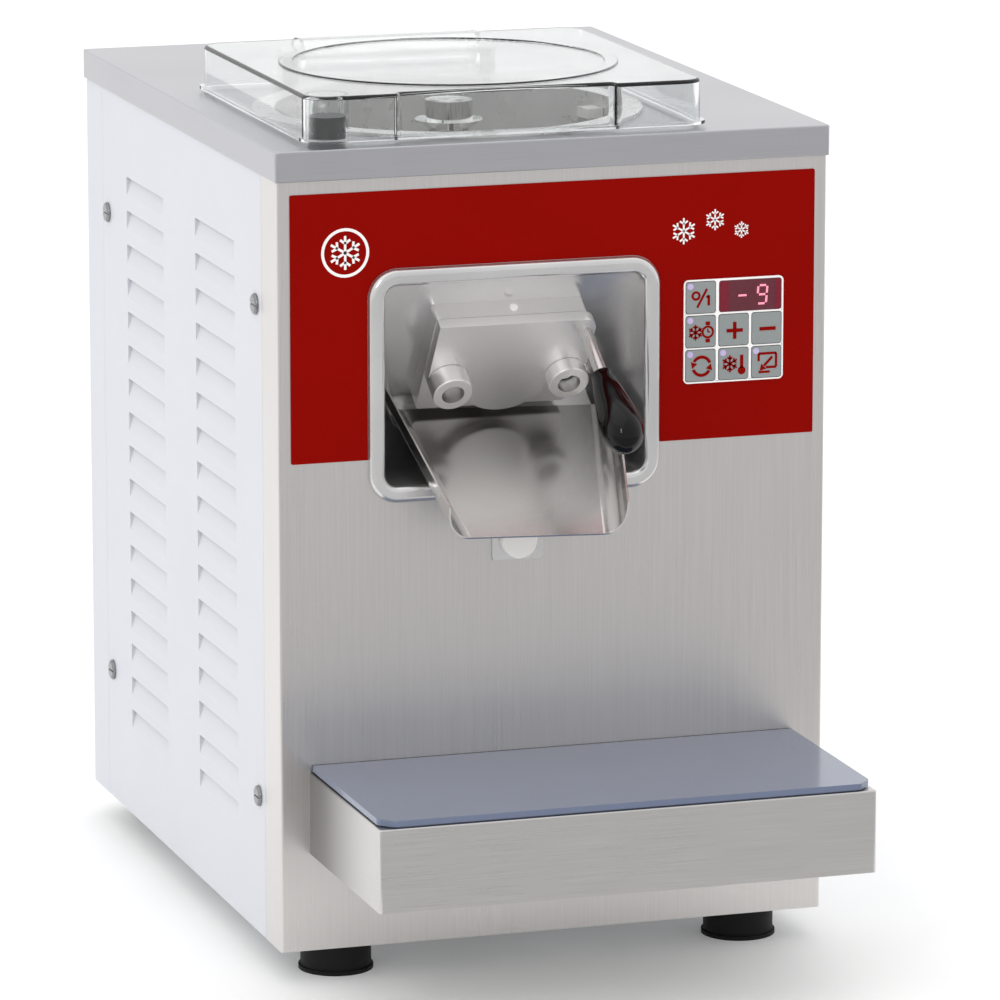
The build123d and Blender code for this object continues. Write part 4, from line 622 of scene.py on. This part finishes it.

# %% [markdown]
# ## Tinted ends of the window
# The window's film is a little redder near its left and right ends. A gradient in the
# window's own finish could do it too, but two thin plates are simpler and keep a clean upright
# edge.

# %% Window tints
tint = satin("window_tint", tone("7C1F30"), rough=0.3, cells=300.0, depth=0.00001, metal=0.0,
             contrast=0.1)
tune(tint, Specular_IOR_Level=0.2)
tall_mm = (high[2] - low[2]) * 1000 - 1.0
wide_mm = (high[0] - low[0]) * 1000
for name, share, width in (("left", -0.42, 0.13), ("right", 0.44, 0.09)):
    reach = width * wide_mm / 2
    flat_piece("window_tint_" + name,
               lambda mesh: bar(mesh, (-reach, 0.0), (reach, 0.0), tall_mm, depth=0.1),
               window_x + share * wide_mm / 1000, low[1] - 0.00003, window_z, tint,
               "cabinet")
print("the window is", round(wide_mm, 1), "mm wide")

# %% [markdown]
# ## Decoration on the coloured band
# A plain machine would look unfinished without a mark, so a snowflake in a ring stands in the top
# left of the band, and three falling flakes balance it on the right. Both are made from the same
# bars and rings as the key signs, and they are attached to the cabinet.

# %% Snowflake mark
def mark(mesh):
    """One flake in a ring."""
    ring(mesh, (0.0, 0.0), 14.0, 1.8)
    snowflake(mesh, (0.0, 0.0), 10.2, 1.5)


def flurry(mesh):
    """Three flakes, each smaller than the one before."""
    snowflake(mesh, (-18.0, -2.0), 8.0, 1.1)
    snowflake(mesh, (2.0, 4.0), 6.4, 0.95)
    snowflake(mesh, (19.0, -3.0), 5.0, 0.85)


low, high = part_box("fascia_panel")
flat_piece("snow_mark", mark, low[0] + 0.034, low[1] - INK_PROUD, high[2] - 0.036, white_ink,
           "cabinet")
flat_piece("snow_flurry", flurry, high[0] - 0.066, low[1] - INK_PROUD, high[2] - 0.032, white_ink,
           "cabinet")
print("band", [round(v, 4) for v in low], [round(v, 4) for v in high])

# %% [markdown]
# ## Floor
# A machine for a catalogue stands on pale paper that runs up behind it, so that no line shows
# where the floor ends. A very large plain floor does the same when the camera looks down. It
# glows very faintly, as paper does with a lamp behind it, so that it stays near white.

# %% Floor
floor_finish = satin("pale_paper", tone("FBFBFB"), rough=0.7, cells=90.0, depth=0.0001,
                     metal=0.0, contrast=0.01)
tune(floor_finish, Emission_Color=(1.0, 1.0, 1.0, 1.0), Emission_Strength=0.12)
paper = bmesh.new()
bmesh.ops.create_grid(paper, x_segments=4, y_segments=4, size=14.0)
floor_mesh = bpy.data.meshes.new("floor")
paper.to_mesh(floor_mesh)
paper.free()
floor_mesh.materials.append(floor_finish)
floor = bpy.data.objects.new("floor", floor_mesh)
scene.collection.objects.link(floor)
print("floor is", round(2 * max(v.co.x for v in floor_mesh.vertices)), "m wide")

# %% [markdown]
# ## A grey card in front
# Polished metal looks flat when all it sees is white. A studio lays a grey card in front of
# it, out of the picture, so that the faces that look forward turn darker than the lid and every
# rounded edge gets a light side and a dark side. Only shiny surfaces see the card: it is hidden
# from the camera and it throws no shade on the floor.

# %% Grey card
card_finish = satin("grey_card", tone("C4C4C4"), rough=0.8, cells=40.0, depth=0.0001,
                    metal=0.0, contrast=0.05)
card = bmesh.new()
bmesh.ops.create_grid(card, x_segments=2, y_segments=2, size=0.5)
bmesh.ops.scale(card, verts=card.verts, vec=(9.0, 5.6, 1.0))
bmesh.ops.translate(card, verts=card.verts, vec=(0.5, -3.22, 0.002))
card_mesh = bpy.data.meshes.new("grey_card")
card.to_mesh(card_mesh)
card.free()
card_mesh.materials.append(card_finish)
card_item = bpy.data.objects.new("grey_card", card_mesh)
scene.collection.objects.link(card_item)
card_item.visible_camera = False
card_item.visible_diffuse = False
card_item.visible_shadow = False
print("card covers the floor from", round(min(v.co.y for v in card_mesh.vertices), 2), "m")

# %% [markdown]
# ## White sky
# A white sky lights the machine from all sides and fills the shadows. It could be one even white,
# but the half behind the camera is a little dimmer here, so that the front, which mirrors that
# half, is darker than the white side.

# %% Sky
world = bpy.data.worlds.new("white_sky")
scene.world = world
world.use_nodes = True
background = world.node_tree.nodes["Background"]
background.inputs["Color"].default_value = (1.0, 1.0, 1.0, 1.0)
way_out = world.node_tree.nodes.new("ShaderNodeTexCoord")
split = world.node_tree.nodes.new("ShaderNodeSeparateXYZ")
dimming = world.node_tree.nodes.new("ShaderNodeMapRange")
dimming.inputs["From Min"].default_value = -0.9
dimming.inputs["From Max"].default_value = 0.0
dimming.inputs["To Min"].default_value = 0.8
dimming.inputs["To Max"].default_value = 1.08
world.node_tree.links.new(way_out.outputs["Generated"], split.inputs["Vector"])
world.node_tree.links.new(split.outputs["Y"], dimming.inputs["Value"])
world.node_tree.links.new(dimming.outputs["Result"], background.inputs["Strength"])
print("sky strength from", dimming.inputs["To Min"].default_value, "to",
      round(dimming.inputs["To Max"].default_value, 2))

# %% [markdown]
# ## Lamps
# Three soft lamps shape the machine: a broad one overhead for the lid, a wall of light on the
# left for the white side, and a narrow strip in front on the left that draws thin highlights
# down the bosses and the rod. They are weak, because the sky does most of the work.

# %% Lights
def lamp(name, place, target, wide, high, power):
    """A soft rectangular lamp that faces target."""
    data = bpy.data.lights.new(name, "AREA")
    data.shape = "RECTANGLE"
    data.size = wide
    data.size_y = high
    data.energy = power
    item = bpy.data.objects.new(name, data)
    item.location = place
    way = Vector(target) - Vector(place)
    item.rotation_mode = "QUATERNION"
    item.rotation_quaternion = way.to_track_quat("-Z", "Y")
    item.visible_camera = False
    scene.collection.objects.link(item)
    return item


middle = (0.0, 0.06, 0.28)
lamp("overhead", (-0.6, -0.4, 2.4), middle, 2.2, 2.2, 5.0)
lamp("left_wall", (-2.6, 0.2, 1.0), middle, 1.8, 1.6, 1.5)
lamp("strip", (-1.6, -2.6, 1.9), middle, 0.2, 1.0, 9.0)
scene.view_settings.view_transform = "Standard"
print("lamps", len(bpy.data.lights))
